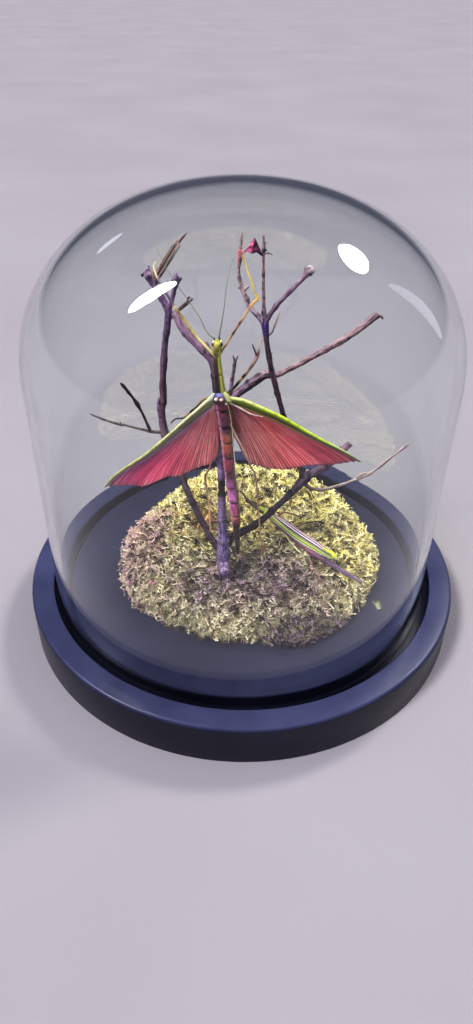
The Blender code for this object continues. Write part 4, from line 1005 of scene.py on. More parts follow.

# %% [markdown]
# Insect cuticle is a thin, horny shell with a satin gloss. Its pattern runs along the trunk: a dark back,
# a yellow-green stripe along the right edge of the thorax, and a brown right edge on the abdomen. Its left
# edge gets a painted pale mauve highlight.

# %% Horny cuticle


def cuticle_finish(name, roughness, blotch, blotch_share):
    """Painted cuticle with darker blotches."""
    shell = new_finish(name)
    paint = node(shell, "Attribute", attribute_name="paint")
    fine = node(shell, "TexNoise", {"Scale": 900.0, "Detail": 3.0, "Vector": node(shell, "TexCoord", out="Object")})
    mask = node(shell, "MapRange", {"From Min": 0.5, "From Max": 0.62, "To Max": blotch_share, "Value": fine})
    tone = node(shell, "Mix", {0: mask, A: paint, B: linear(blotch)}, **MIX)
    bump = node(shell, "Bump", {"Strength": 0.3, "Distance": 0.0002, "Height": fine})
    return show(shell, node(shell, "BsdfPrincipled", {"Roughness": roughness, "IOR": 1.5, "Coat Weight": 0.2,
                                                      "Coat Roughness": 0.3, "Base Color": tone, "Normal": bump}))


def trunk_finish():
    """The trunk's cuticle: side stripes by the outward direction, the left one a painted highlight, and a dark
    and a pale line at each ring.
    """
    shell = new_finish("trunk_cuticle")
    paint = node(shell, "Attribute", attribute_name="paint")
    length = node(shell, "Attribute", out="Fac", attribute_name="length_mm")
    outward = node(shell, "Attribute", out="Vector", attribute_name="outward")
    sideways = node(shell, "SeparateXYZ", {0: outward}, out="X")
    point = node(shell, "TexCoord", out="Object")
    height = node(shell, "SeparateXYZ", {0: point}, out="Z")
    fine = node(shell, "TexNoise", {"Scale": 1100.0, "Detail": 3.0, "Vector": point})
    past_head = node(shell, "Math", {0: length, 1: -head_long}, operation="ADD")
    ring_count = node(shell, "Math", {0: past_head, 1: 1.0 / ring_long}, operation="MULTIPLY")
    part = node(shell, "Math", {0: ring_count}, operation="FRACT")
    lines = node(shell, "ValToRGB", {"Fac": part}, """
        0 #3a2626, 0.05 #8a7070, 0.1 #ffffff, 0.82 #ffffff, 0.88 #ffffff, 0.97 #b09090, 1 #3a2626""")
    below = node(shell, "MapRange", {"From Min": 0.0935, "From Max": 0.095, "To Min": 1.0, "To Max": 0.0,
                                     "Value": height})
    above_tail = node(shell, "MapRange", {"From Min": 0.051, "From Max": 0.056, "Value": height})
    below = node(shell, "Math", {0: below, 1: above_tail}, operation="MULTIPLY")
    ringed_tone = node(shell, "Mix", {0: below, A: paint, B: lines}, **OVER)
    ridges_or_speckle = node(shell, "ValToRGB", {"Fac": fine}, "0.36 #6a5252, 0.52 #ffffff")
    tone = node(shell, "Mix", {0: 0.7, A: ringed_tone, B: ridges_or_speckle}, **OVER)
    # Painted highlight: pale mauve along the left edge of the abdomen. The brown along its right edge is its own
    # colour.
    for start, end, most, hue in ((-0.45, -0.85, 0.6, "#c08aa4"), (0.45, 0.75, 0.9, "#5c3f1c")):
        edge = node(shell, "MapRange", {"From Min": start, "From Max": end, "To Max": most, "Value": sideways})
        share = node(shell, "Math", {0: edge, 1: below}, operation="MULTIPLY")
        tone = node(shell, "Mix", {0: share, A: tone, B: linear(hue)}, **MIX)
    stripe_hue = node(shell, "ValToRGB", {"Fac": sideways},
                      "0 #4a3c1e, 0.16 #6f6626, 0.35 #b9b844, 0.6 #c6c552, 0.85 #7c7a2c")
    neck = node(shell, "MapRange", {"From Min": 0.0945, "From Max": 0.0965, "Value": height})
    side = node(shell, "MapRange", {"From Min": -0.05, "From Max": 0.12, "Value": sideways})
    stripe = node(shell, "Math", {0: neck, 1: side}, operation="MULTIPLY")
    tone = node(shell, "Mix", {0: stripe, A: tone, B: stripe_hue}, **MIX)
    bump = node(shell, "Bump", {"Strength": 0.35, "Distance": 0.0002, "Height": fine})
    return show(shell, node(shell, "BsdfPrincipled", {"Roughness": 0.38, "IOR": 1.5, "Coat Weight": 0.3,
                                                      "Coat Roughness": 0.25, "Base Color": tone, "Normal": bump}))


limb_shell = cuticle_finish("limb_cuticle", 0.5, "#3a261c", 0.3)
head_shell = cuticle_finish("head_cuticle", 0.42, "#3b3417", 0.85)
pad_shell = cuticle_finish("pad_cuticle", 0.4, "#7c8a4a", 0.25)
settle(join("large_insect_trunk", [trunk], trunk_finish()), "large_insect_skin", "large_insect_body")

# %% Head, eyes and forewing pads


def balls(text):
    """Small rounded parts such as eyes, each painted in one hue. A row has a name, the centre, the radii, the
    hue, the number of faces around, and if it needs them the turns about x, y and z in degrees."""
    made = []
    for row in text.split(","):
        words = row.split()
        bpy.ops.mesh.primitive_uv_sphere_add(segments=int(words[8]), ring_count=int(words[8]) // 2, radius=MM)
        ball = bpy.context.object
        ball.name, hue = words[0], words[7]
        shift = Vector([float(v) for v in words[1:4]]) * MM
        turned = Matrix.Diagonal([float(v) for v in words[4:7]] + [1.0])
        for turn, axis in zip(words[9:], "XYZ"):
            turned = Matrix.Rotation(math.radians(float(turn)), 4, axis) @ turned
        ball.data.transform(Matrix.Translation(shift) @ turned)
        mark(ball, "paint", "FLOAT_COLOR", np.tile(linear(hue), len(ball.data.vertices)))
        mark(ball, "outward", "FLOAT_VECTOR", unit(np.array([v.co - shift for v in ball.data.vertices])))
        mark(ball, "length_mm", "FLOAT", np.zeros(len(ball.data.vertices)))
        made.append(ball)
    return made


settle(join("large_insect_head", balls("""
brow -7.4 -25.6 110.5 1 0.75 0.9 #c6be5c 16,
brow_low -7.5 -25.6 109.2 0.8 0.6 0.8 #8a8234 16,
cheek_left -8.35 -25.2 111.1 0.34 0.4 0.42 #eeeacc 16,
cheek_right -6.45 -25.2 111.2 0.34 0.4 0.42 #f0ecd0 16,
eye_left -8.55 -25.2 110.3 0.36 0.45 0.5 #2b1d12 16,
eye_right -6.3 -25.2 110.4 0.36 0.45 0.5 #2b1d12 16,
horn_left -8.2 -25.1 111.8 0.14 0.14 0.5 #4a3a20 8,
horn_right -6.7 -25.1 111.9 0.14 0.14 0.5 #4a3a20 8,
neck_knob_left -8 -25.2 108 0.4 0.5 0.6 #3a2f1c 16,
neck_knob_right -6.8 -25.3 107.9 0.42 0.5 0.7 #b5b04c 16
"""), head_shell), "large_insect_skin", "large_insect_body")
settle(join("large_insect_plate_and_pads", balls("""
plate -6.7 -26 95.9 1.1 0.5 1.15 #938ccc 16,
plate_left -8.1 -26 95.2 0.75 0.4 1.1 #5a5478 16 0 20 0,
plate_right -5.8 -26 95.3 0.6 0.4 1.1 #6a6284 16 0 -20 0,
plate_low -7 -26 93.8 1.15 0.45 1 #3a1f28 16,
pad_left -8.9 -25.9 95.3 0.7 0.45 1.45 #c6d2b4 16 0 28 12,
pad_right -4.9 -25.9 95.5 0.9 0.45 1.95 #c6ca80 16 0 -38 -12,
pad_hem -5.6 -26.1 93.6 1.1 0.35 0.5 #c8cc98 16 0 12 0,
dot_left -7.75 -26.4 94.95 0.54 0.35 0.54 #ffe2c4 12,
dot_right -6.35 -26.4 94.9 0.58 0.35 0.54 #ffd6d2 12
"""), pad_shell), "large_insect_skin", "large_insect_body")
settle(join("pale_side_seam", limbs("""
pale_side_seam: -4.5 -25.9 93 0.12, -3.6 -25.8 87.6 0.12, -3.1 -25.8 81.1 0.12, -2.5 -25.8 74 0.12, -2.1 -25.8
 69 0.09 | 0 #e0b080, 0.4 #e8dcc0, 1 #d8cfb8
""", sides=8, rings=5), pad_shell), "large_insect_skin", "large_insect_body")

# %% [markdown]
# Six thin legs and two feelers hold and touch the twigs. A thigh is thickest near the body, a shin is thin,
# and the foot is a row of short joints. Fore and middle thighs are banded dark and tan.

# %% Legs and feelers of the large insect
legs = limbs("""
right_fore: -7.2 -24.6 106.9 0.41, -5.3 -23.3 109.5 0.34, -3.4 -22 112.1 0.32, -1.2 -20 115 0.35, 0.9 -18 117.7
 0.3, 2 -16.8 118.7 0.32, 2.8 -16 119.3 0.39, 2.3 -15.8 120.6 0.27, 1.4 -15.5 123 0.27, 0.1 -15 126.2 0.25, -1.5
 -14.3 130.2 0.26, -1.9 -14.2 131 0.32, -2.3 -14.3 130.1 0.2, -2.4 -14.5 127.1 0.15 | 0 #b0a05a, 0.15 #c4a468,
 0.18 #b08a60, 0.19 #2a1d1a, 0.215 #2a1d1a, 0.23 #a87850, 0.265 #a87850, 0.275 #2a1d1a, 0.3 #2a1d1a, 0.32
 #c49a70, 0.4 #b8926c, 0.45 #e0a03c, 0.58 #e0c460, 0.78 #ecd27c, 0.84 #d8904c, 0.88 #d5757f, 1 #e3788a;
left_fore: -7.8 -24.6 106.5 0.42, -10.2 -24 109 0.36, -12.6 -23.4 111.4 0.34, -15.9 -22.8 115.8 0.36, -18.4 -22
 118.9 0.42, -19.7 -20 120.2 0.31, -21.1 -18 121.4 0.3, -24.2 -11 123.9 0.26, -24.7 -10 125.4 0.21, -24.2 -9.5
 126.4 0.17 | 0 #8a7a3c, 0.08 #d8cf8a, 0.2 #e8dc8c, 0.3 #c8b060, 0.42 #b89a5c, 0.46 #3a2c24, 0.49 #e0c890, 0.52
 #4a3a50, 0.84 #5c4668, 0.88 #e0c49a, 1 #f0d8b0;
right_mid: -6.6 -24.2 95 0.4, -3.6 -21.8 95.6 0.42, -1.2 -19.4 97.6 0.44, 1 -17 99.4 0.44, 3.2 -13 101.5 0.54,
 3.8 -9 102.2 0.27, 4.4 -5 102.8 0.29, 7.6 -2 104.3 0.27, 8.1 -1 105.2 0.24, 9.8 2 109.2 0.2 | 0 #a3aa48, 0.12
 #5a4a30, 0.16 #2a1e18, 0.19 #2a1e18, 0.2 #c8a070, 0.22 #c8a070, 0.23 #2a1e18, 0.27 #2a1e18, 0.28 #9a7464, 0.34
 #5c4240, 0.4 #927268, 0.5 #5e4048, 0.56 #a88c80, 0.75 #98807a, 0.82 #5a4440, 1 #a08c80;
left_mid: -7.8 -24.2 94.8 0.38, -11.1 -21.8 92.6 0.32, -13.9 -19 88.3 0.32, -15.5 -17.6 86.1 0.41, -16.6 -16.8
 84.6 0.27, -17.8 -16 83.1 0.26, -20.3 -14.5 81.9 0.22, -22 -13 79.5 0.2 | 0 #a3aa6a, 0.2 #8c7a4c, 0.4 #54402e,
 0.5 #261a16, 0.56 #261a16, 0.58 #a08a5c, 0.68 #8c7a50, 0.76 #2a1f1a, 1 #2a1f1a;
right_hind: -5.2 -25.6 90 0.26, -3.75 -26 86.9 0.25, -2.2 -26 83.3 0.25, -0.6 -26 79.9 0.25, 1 -25.6 75.9 0.26,
 2.3 -22 70 0.28, 3.4 -19 66 0.3, 4.1 -16.8 61.2 0.29, 4.7 -15.7 55 0.23, 5 -15.4 50.3 0.23, 5.7 -15.6 43.1
 0.22, 6.4 -15.4 37.4 0.23, 7.1 -15.2 31.4 0.18 | 0 #c8a48c, 0.4 #d8b49c, 0.5 #dcb494, 0.6 #c89c68, 0.85
 #d0a070, 1 #9a7048;
left_hind: -7.9 -25 84 0.22, -8.5 -25.6 80.2 0.23, -8.9 -25.6 76.7 0.25, -10 -24.6 71.2 0.28, -11 -20 66.6 0.3,
 -11.9 -15.8 61.8 0.38, -11.2 -16.4 58 0.24, -10.9 -16.9 55.4 0.24, -10.4 -17.8 48.9 0.22, -10.4 -18.2 42.7 0.18
 | 0 #8e4c4e, 0.3 #a8625e, 0.5 #cc8c74, 0.6 #d89c64, 0.85 #e0b080, 1 #a8804c;
mid_spur: 3.3 -13 101.5 0.42, 2.6 -12.8 103.2 0.26, 1.8 -12.5 105.1 0.16 | 0 #5a4038, 1 #2c1f1c
""", sides=10, rings=5)
feelers = limbs("""
left_feeler: -8 -25 111.9 0.2, -9.4 -24.5 112.6 0.15, -12.2 -20 115.6 0.12, -15.2 -14 117.3 0.11, -18.5 -11
 120.8 0.1, -21.5 -7 123.7 0.1, -23.8 -4 126.8 0.1, -27.2 5 131.6 0.09, -31.4 14 134.8 0.08 | 0 #6a6a48, 0.4
 #77796c, 1 #a4a89c;
right_feeler: -7 -25 111.9 0.2, -5.8 -22 118.6 0.12, -4.9 -18 125.1 0.11, -2.5 -12 130.9 0.1, 2.6 -1 136.2 0.09
 | 0 #6a6a48, 0.4 #77796c, 1 #a4a89c
""", sides=6, rings=6)
settle(join("large_insect_legs_and_feelers", legs + feelers, limb_shell), "large_insect_skin", "large_insect_body")

# %% [markdown]
# ## The spread wings
# A stick insect's hind wing is a folding fan: a stiff, leathery front edge and, behind it, a thin membrane
# with ribs that spread from the root. A grid of faces is the membrane. Its columns become the ribs, and its
# rows run from the root to the scalloped hind edge. Between the ribs the membrane falls into pleats.

# %% Fan of one wing
RIBS, STEPS, PLEATS = 120, 44, 24


def smooth_line(text, count):
    """Evenly spaced points along a smooth line through the ones of a table, in mm."""
    p = np.array(rows(text, 3))
    p = np.vstack([2 * p[0] - p[1], p, 2 * p[-1] - p[-2]])
    t = np.linspace(0, 1, 20)[:, None]
    a, b, c, d = p[:-3, None], p[1:-2, None], p[2:-1, None], p[3:, None]
    line = 0.5 * (2 * b + (c - a) * t + (2 * a - 5 * b + 4 * c - d) * t ** 2 + (3 * b - a - 3 * c + d) * t ** 3)
    line = line.reshape(-1, 3)
    return at_share(line, np.linspace(0, along(line)[-1], count), along(line))


def at_share(line, share, run=None):
    """The points at shares of a line's steps, or at lengths along it if its run is given."""
    steps = np.linspace(0, 1, len(line)) if run is None else run
    return np.stack([np.interp(share, steps, line[:, k]) for k in range(3)], axis=-1)


def flat_sheet(name, columns, steps):
    """A flat grid of faces, and the share of each point across it and along it."""
    bpy.ops.mesh.primitive_grid_add(x_subdivisions=columns, y_subdivisions=steps, size=2)
    piece = bpy.context.object
    piece.name = name
    grid = np.array([v.co for v in piece.data.vertices])
    return piece, (grid[:, 0] + 1) / 2, (grid[:, 1] + 1) / 2


def form_sheet(piece, place, thickness, finish):
    """Bring a sheet's points to their places in mm, then give it its thickness and its finish."""
    piece.data.vertices.foreach_set("co", (place * MM).astype(np.float32).ravel())
    piece.data.update()
    finish_with(piece, "SOLIDIFY", thickness=thickness * MM, offset=0.0)
    piece.data.materials.append(finish)
    bpy.ops.object.shade_smooth()


def fan_wing(name, cad_node, finish, leading, trailing):
    """A fan between its front edge, from root to tip, and its hind edge, from tip to root."""
    wing, across, out = flat_sheet(name, RIBS, STEPS)
    front, back = smooth_line(leading, 80), smooth_line(leading.split(",")[-1] + ", " + trailing, 120)
    root, tip = front[0], front[-1]
    scallop = 1 - 0.018 * np.abs(np.sin(across * PLEATS * math.pi)) * (across > 0.02)
    reach = (0.02 + 0.98 * out) * np.where(out > 0.9, 1 - (1 - scallop) * (out - 0.9) / 0.1, 1)
    bow = at_share(front, reach) - (root + (tip - root) * reach[:, None])
    place = root + (at_share(back, across) - root) * reach[:, None] + bow * ((1 - across) ** 2)[:, None]
    pleat = 0.13 * out * np.cos(across * PLEATS * 2 * math.pi) * np.clip(across / 0.08, 0, 1)
    sag = 0.9 * np.sin(math.pi * across) * np.sin(math.pi * out) + 0.5 * out * np.sin(across * 9 + 0.8)
    place[:, 1] += pleat + sag
    near = np.linalg.norm(place[:, None] - front[None], axis=2).min(1)
    mark(wing, "edge_mm", "FLOAT", near * (1 + 1.9 * reach ** 3))
    form_sheet(wing, place, 0.12, finish)
    weld(2e-6)
    settle(wing, "red_wing", cad_node)


# %% [markdown]
# Wing membrane, thin and parchment-like: a soft satin gloss, a dark vein on each rib and fine cross veins.
# The colour runs in bands from the front edge (a bright rim, then dark olive) and, further back, in sectors
# that spread from the root: mauve, crimson, and a dusty salmon near the body.

# %% Wing membrane


def wing_finish(name, edge_bands, inner, outer, margin):
    """Bands by the distance from the front edge in mm. Behind them sectors by the share of the fan, one row of
    hues for the part near the root and one for the outer part, and a hue for the hind margin."""
    skin = new_finish(name)
    flat = node(skin, "UVMap", uv_map="UVMap")
    across = node(skin, "SeparateXYZ", {0: flat}, out="X")
    out = node(skin, "SeparateXYZ", {0: flat}, out="Y")
    edge = node(skin, "Attribute", out="Fac", attribute_name="edge_mm")
    streak_at = node(skin, "VectorMath", {0: flat, 1: (34.0, 1.6, 1.0)}, operation="MULTIPLY")
    streak = node(skin, "TexNoise", {"Scale": 1.0, "Detail": 4.0, "Roughness": 0.7, "Vector": streak_at})
    cloud_at = node(skin, "VectorMath", {0: flat, 1: (5.0, 4.0, 1.0)}, operation="MULTIPLY")
    cloud = node(skin, "TexNoise", {"Scale": 1.0, "Detail": 3.0, "Vector": cloud_at})
    shift = node(skin, "MapRange", {"To Min": -0.07, "To Max": 0.07, "Value": cloud})
    sector = node(skin, "Math", {0: across, 1: shift}, operation="ADD")
    near = node(skin, "ValToRGB", {"Fac": sector}, inner)
    far = node(skin, "ValToRGB", {"Fac": sector}, outer)
    reach = node(skin, "Math", {0: out, 1: shift}, operation="ADD")
    outside = node(skin, "MapRange", {"From Min": 0.35, "From Max": 0.75, "Value": reach})
    tone = node(skin, "Mix", {0: outside, A: near, B: far}, **MIX)
    hem = node(skin, "MapRange", {"From Min": 0.93, "From Max": 1.0, "To Max": 0.6, "Value": out})
    tone = node(skin, "Mix", {0: hem, A: tone, B: linear(margin)}, **MIX)
    bright = node(skin, "ValToRGB", {"Fac": streak}, "0.3 #6e6262, 0.45 #cfc6c6, 0.56 #ffffff, 0.72 #ffffff")
    tone = node(skin, "Mix", {0: 0.8, A: tone, B: bright}, **OVER)
    # Painted highlights: pale pink where the streaks are brightest.
    shine = node(skin, "MapRange", {"From Min": 0.54, "From Max": 0.72, "To Max": 0.55, "Value": streak})
    tone = node(skin, "Mix", {0: shine, A: tone, B: linear("#f0b0b0")}, **MIX)
    rib_turn = node(skin, "Math", {0: across, 1: PLEATS * 2 * math.pi}, operation="MULTIPLY")
    rib_wave = node(skin, "Math", {0: rib_turn}, operation="COSINE")
    rib = node(skin, "ValToRGB", {"Fac": rib_wave}, "0 #ffffff, 0.8 #ffffff, 0.95 #a8606c, 1 #54222e")
    tone = node(skin, "Mix", {0: 0.95, A: tone, B: rib}, **OVER)
    half_turn = node(skin, "Math", {0: rib_turn, 1: math.pi}, operation="ADD")
    half_wave = node(skin, "Math", {0: half_turn}, operation="COSINE")
    half_rib = node(skin, "ValToRGB", {"Fac": half_wave}, "0.86 #ffffff, 1 #84485a")
    tone = node(skin, "Mix", {0: 0.8, A: tone, B: half_rib}, **OVER)
    band_at = node(skin, "Math", {0: edge, 1: 0.1}, operation="MULTIPLY")
    band = node(skin, "ValToRGB", {"Fac": band_at}, edge_bands)
    long_turn = node(skin, "Math", {0: edge, 1: 9.0}, operation="MULTIPLY")
    long_wave = node(skin, "Math", {0: long_turn}, operation="COSINE")
    long_vein = node(skin, "ValToRGB", {"Fac": long_wave}, "0.55 #ffffff, 1 #9c8a86")
    banded = node(skin, "Mix", {0: 0.6, A: band, B: long_vein}, **OVER)
    front = node(skin, "MapRange", {"From Min": 2.3, "From Max": 3.4, "To Min": 1.0, "To Max": 0.0, "Value": edge})
    tone = node(skin, "Mix", {0: front, A: tone, B: banded}, **MIX)
    bump = node(skin, "Bump", {"Strength": 0.35, "Distance": 0.0002, "Height": rib_wave})
    return show(skin, node(skin, "BsdfPrincipled", {
        "Roughness": 0.46, "IOR": 1.45, "Sheen Weight": 0.1, "Base Color": tone, "Normal": bump}))


left_membrane = wing_finish("left_wing_membrane", """
0 #e6e8a8, 0.05 #d4d890, 0.08 #adac66, 0.15 #a09c6c, 0.19 #7c6a60, 0.22 #b08c98, 0.34 #b07888
""", """
0 #98586c, 0.1 #b8708c, 0.18 #a85470, 0.3 #c66c72, 0.45 #d07c7a, 0.7 #c27672, 1 #9c5458
""", """
0 #a84870, 0.1 #c43a74, 0.2 #cf2a66, 0.36 #d83e66, 0.5 #d25866, 0.66 #c86e6a, 0.85 #b86664, 1 #a25056
""", "#a85a5e")
fan_wing("left_hind_wing", "large_insect_left_wing", left_membrane, """
-8.7 -24.6 94.6, -13 -24.2 90.6, -17.1 -23.8 86.4, -23.8 -22.8 79.2, -30.8 -21.8 72.4, -38.2 -20.8 66.8, -42.8
-20.2 61.1
""", """
-34.3 -21 62.1, -29.9 -21.5 62.7, -23.6 -22.4 66.5, -19.9 -22.9 67.1, -15 -23.6 69.5, -12.3 -24.1 71.1, -9.4
-24.4 72.4, -7.6 -24.6 76, -7 -24.7 84
""")
right_membrane = wing_finish("right_wing_membrane", """
0 #d4ea40, 0.06 #b8d430, 0.1 #9ab428, 0.14 #70821e, 0.19 #4c521e, 0.22 #a08a5a, 0.27 #9a5c50, 0.34 #b0605c
""", """
0 #a85c56, 0.12 #b8645c, 0.2 #d46c64, 0.3 #e66a62, 0.38 #de766e, 0.48 #d08078, 0.75 #c47c74, 1 #a4605a
""", """
0 #b03c4c, 0.12 #cc4058, 0.25 #d84e60, 0.36 #ea6868, 0.46 #de7068, 0.58 #cc746c, 0.75 #c4726a, 1 #b4685e
""", "#b05c60")
fan_wing("right_hind_wing", "large_insect_right_wing", right_membrane, """
-4.3 -24.4 94.4, -1.3 -24.2 93.9, 1.5 -24 92.8, 4.3 -23.7 91.3, 11.2 -23.1 87.6, 20.2 -22 81.4, 29.5 -20.8 75.6,
35.1 -20 71.4
""", """
27 -20.9 70.4, 19.8 -21.8 70.8, 11.5 -22.9 70.2, 5.5 -23.6 71.2, 1.1 -24.1 73.4, -1.5 -24.4 78.9, -3.9 -24.7 85
""")

# %% [markdown]
# The front edge of each wing is a stiff rib that the eye reads as a bright rim, so each gets a thin rod of
# its own along the edge, and the right wing also shows a cream vein that leaves the root.

# %% Front edge ribs
rib_rods = []
for name, points, radii, paint in (
    ("left_rib", """
-9.3 -24.9 94.6, -13 -24.4 90.7, -17.1 -24 86.5, -23.8 -23 79.3, -30.8 -22 72.5, -38.2 -21 66.9, -42.7 -20.4
61.3
""", "0.5 0.42 0.38 0.3 0.14", "0 #d8dab0, 0.5 #c9cc80, 1 #c3c06a"),
    ("right_rib", """
-4.6 -24.7 94.6, -1.3 -24.4 94, 1.5 -24.2 92.9, 4.3 -23.9 91.4, 11.2 -23.3 87.7, 20.2 -22.2 81.5, 29.5 -21 75.7,
35 -20.2 71.5
""", "0.5 0.5 0.45 0.32 0.14", "0 #e2e6a0, 0.3 #cfe43c, 0.7 #bfe020, 0.85 #c8d88a, 1 #5a4a30"),
    ("cream_vein", """
-4.4 -24.9 93.3, -1.5 -24.6 91.6, 1.6 -24.3 89.6, 5.2 -23.9 88.4
""", "0.3 0.26 0.12", "0 #f0d8c0, 1 #f3e4d4"),
):
    radii = [float(r) for r in radii.split()]
    line = smooth_line(points, 12)
    radius = np.interp(np.linspace(0, 1, 12), np.linspace(0, 1, len(radii)), radii)
    rib_rods.append(draw_limb(name, [(*p, r) for p, r in zip(line, radius)], paint, sides=8, rings=4))
settle(join("wing_front_ribs", rib_rods, limb_shell), "red_wing")

# %% [markdown]
# ## The small insect
# A second, smaller stick insect lies across the moss at the right with its wings folded along its back. Its
# head is green, its folded wings are striped in purple and cream, and its tail is mauve-brown.

# %% Small insect's trunk and legs
small_trunk = draw_limb("small_trunk", rows("""
6 10.2 33 0.4, 6.3 9.7 33 0.75, 7.3 7.5 33 1, 7.9 6.4 33 0.75, 8.7 5.1 33 0.85
""", 4) + ringed("""
10.4 2.2 33 0.9, 14.8 -4 33 0.95, 20.4 -10.2 32.4 1, 25 -14.6 31.5 1.05, 29.5 -18.1 30.6 0.95, 34.3 -21.3 29.4
0.8, 39.5 -23.6 27.6 0.4
""", 9, dip=0.8), """
0 #8da23a, 0.1 #7e9434, 0.16 #8a7a40, 0.3 #6c4a58, 0.5 #7c5064, 0.6 #8c5c74, 0.72 #54404c, 0.85 #6d5a72, 1
#7a6a80
""", sides=14, rings=3)
small_eyes = balls("""
small_eye_a 5.6 9 33.4 0.35 0.35 0.35 #2a2416 10,
small_eye_b 7.2 9.8 33.4 0.35 0.35 0.35 #2a2416 10
""")
small_legs = limbs("""
near_fore: 8.2 5.9 33 0.63, 5.6 7.4 33.4 0.48, 3.4 10.1 33.8 0.45, 1.1 12.8 33.4 0.42 | 0 #3c3428, 1 #2a231e;
far_fore: 7.6 7 33 0.52, 5.1 11 33.6 0.42, 1.9 12.6 33.6 0.36, 0.4 15.6 33.7 0.31, -1.1 18.5 33.4 0.26 | 0
 #4a3c2c, 1 #33291f;
near_mid: 12.5 -1 32.8 0.42, 14 -3.8 32.8 0.36, 15.5 -6.6 32.2 0.36, 18.4 -11.5 31.4 0.3, 20.1 -13.1 30.6 0.2 |
 0 #b9b46a, 0.5 #ddd59a, 1 #e8dfb4;
far_mid: 11.2 1.1 33 0.42, 14.5 6.4 33 0.32, 17.5 5.7 33.2 0.28, 20.5 5 32.4 0.25 | 0 #6a4a34, 1 #5a3f30;
near_hind: 21.1 -10.8 32.2 0.28, 22.6 -15.6 30.9 0.23, 24 -20.6 29.9 0.22, 27.6 -27 29.1 0.17, 31.6 -29.8 28.7
 0.13 | 0 #80604c, 0.5 #94706a, 1 #84645e;
far_hind: 15.6 -4.8 33 0.42, 18.6 -2 33.2 0.34, 21.6 0.6 32.6 0.32, 25 1.9 32.6 0.28, 28.3 3 32 0.25 | 0
 #7a5a3a, 1 #4d3626;
small_feeler: 6.9 8.6 33.6 0.25, 6.9 10 34.2 0.2, 7.8 10.2 34.6 0.18, 8.9 9.4 34.6 0.14 | 0 #4a4028, 1 #2c2620
""", sides=8, rings=5)
small_insect = join("small_insect_trunk_and_legs", [small_trunk, *small_eyes, *small_legs], limb_shell)
settle(small_insect, "small_insect_skin", "small_insect_body")

# %% [markdown]
# Its wings are one long folded fan: a grid laid along a line, roofed over the back, with fine pleats.

# %% Small insect's folded wings
FOLDS, ROOF = 9, 0.5
striped = new_finish("folded_wing_membrane")
across = node(striped, "SeparateXYZ", {0: node(striped, "UVMap", uv_map="UVMap")}, out="X")
turn = node(striped, "Math", {0: across, 1: FOLDS * math.pi}, operation="MULTIPLY")
wave = node(striped, "Math", {0: turn}, operation="COSINE")
lines = node(striped, "ValToRGB", {"Fac": wave}, "0 #e8d4da, 0.3 #b298ae, 0.48 #3a2444, 1 #150a1a")
sides = node(striped, "ValToRGB", {"Fac": across}, """
0 #c8b4b8, 0.2 #ffffff, 0.7 #ffffff, 0.76 #33401a, 0.8 #84a22c, 0.88 #aacc3a, 0.92 #3c4a1c, 0.95 #b0b488, 1 #c6c8a0
""")
mixed = node(striped, "Mix", {0: 1.0, A: lines, B: sides}, **OVER)
green = node(striped, "MapRange", {"From Min": 0.74, "From Max": 0.8, "Value": across})
edged = node(striped, "Mix", {0: green, A: mixed, B: sides}, **MIX)
bump = node(striped, "Bump", {"Strength": 0.4, "Distance": 0.0002, "Height": wave})
show(striped, node(striped, "BsdfPrincipled", {"Roughness": 0.5, "Base Color": edged, "Normal": bump}))

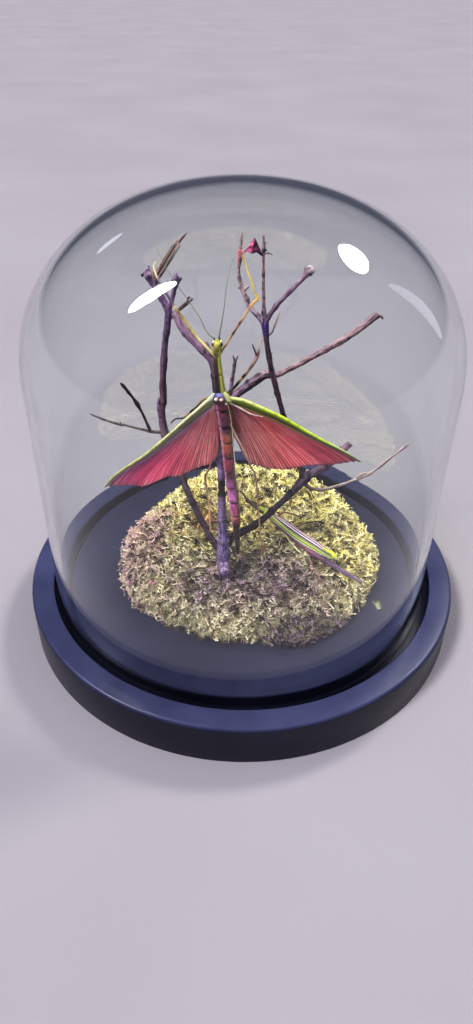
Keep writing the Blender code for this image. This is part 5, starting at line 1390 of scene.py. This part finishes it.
wing, across, out = flat_sheet("small_insect_folded_wings", 60, 48)
spine = smooth_line("""
10.3 4 34.7, 11.6 1.9 34.8, 15.4 -2.8 34.7, 19.7 -7.6 34.4, 24.6 -12 33.8, 28.4 -15.6 33.2, 30.9 -18 32.8
""", 100)
run = unit(at_share(spine, clip(out + 0.02)) - at_share(spine, clip(out - 0.02)))
widths = (0.6, 1.7, 2.15, 2.3, 2.25, 1.8, 0.6)
width = np.interp(out, np.linspace(0, 1, len(widths)), widths)
swing = (across - 0.5) * 2
place = at_share(spine, out) + unit(np.cross(run, [0.0, 0.0, 1.0])) * (swing * width)[:, None]
place[:, 2] += ROOF * (1 - swing ** 2) * width - 0.35 * width + 0.09 * np.cos(across * FOLDS * math.pi)
form_sheet(wing, place, 0.22, striped)
settle(wing, "purple_wing", "small_insect_wings")
settle(join("small_insect_wing_tip", limbs("""
green_tip: 27 -14.2 34 0.35, 29 -16.2 34 0.55, 30.6 -17.6 33.6 0.75, 31.2 -18.2 33.2 0.45 | 0 #b9c84a, 1
 #d3dc34
""", sides=8), limb_shell), "purple_wing", "small_insect_wings")

# %% [markdown]
# ## The dried leaf
# One small leaf has dried on the upright twig. It is folded along its middle: pink on the lit half, and
# painted dark purple as shade in the fold. A grid is shaped to its three corners and curled, then thickened
# to a paper sheet.

# %% Dried leaf
leaf_skin = new_finish("dried_leaf_skin")
share = node(leaf_skin, "SeparateXYZ", {0: node(leaf_skin, "UVMap", uv_map="UVMap")}, out="Y")
# Painted light and shade: the lit half pink, the half in the fold dark purple.
lit_and_shaded_halves = node(leaf_skin, "ValToRGB", {"Fac": share},
              "0 #d56a8e, 0.38 #e0779a, 0.46 #5a2440, 0.6 #7c2f55, 1 #472038")
speck = node(leaf_skin, "TexNoise", {"Scale": 900.0, "Detail": 3.0,
                                     "Vector": node(leaf_skin, "TexCoord", out="Object")})
aged = node(leaf_skin, "ValToRGB", {"Fac": speck}, "0.35 #7a5a5a, 0.55 #ffffff")
tone = node(leaf_skin, "Mix", {0: 0.8, A: lit_and_shaded_halves, B: aged}, **OVER)
bump = node(leaf_skin, "Bump", {"Strength": 0.5, "Distance": 0.0003, "Height": speck})
show(leaf_skin, node(leaf_skin, "BsdfPrincipled", {"Roughness": 0.65, "Base Color": tone, "Normal": bump}))

leaf, a, b = flat_sheet("dried_pink_leaf", 24, 24)
stalk_end, low_left, low_right = np.array(rows("1.8 -10.4 133.1, -1.3 -10.2 129.3, 4.2 -10.9 128.8", 3))
left_side, right_side = (stalk_end + (low - stalk_end) * a[:, None] for low in (low_left, low_right))
place = left_side + (right_side - left_side) * b[:, None]
place[:, 1] += -1.6 * np.sin(math.pi * clip(a)) * (0.6 - np.abs(b - 0.45)) + 0.25 * np.sin(a * 9 + b * 5)
place[:, 2] += 0.5 * np.sin(b * math.pi) * a - 0.25 * np.cos(b * 14) * a
form_sheet(leaf, place, 0.16, leaf_skin)
settle(leaf, "red_leaf", "dried_leaf")
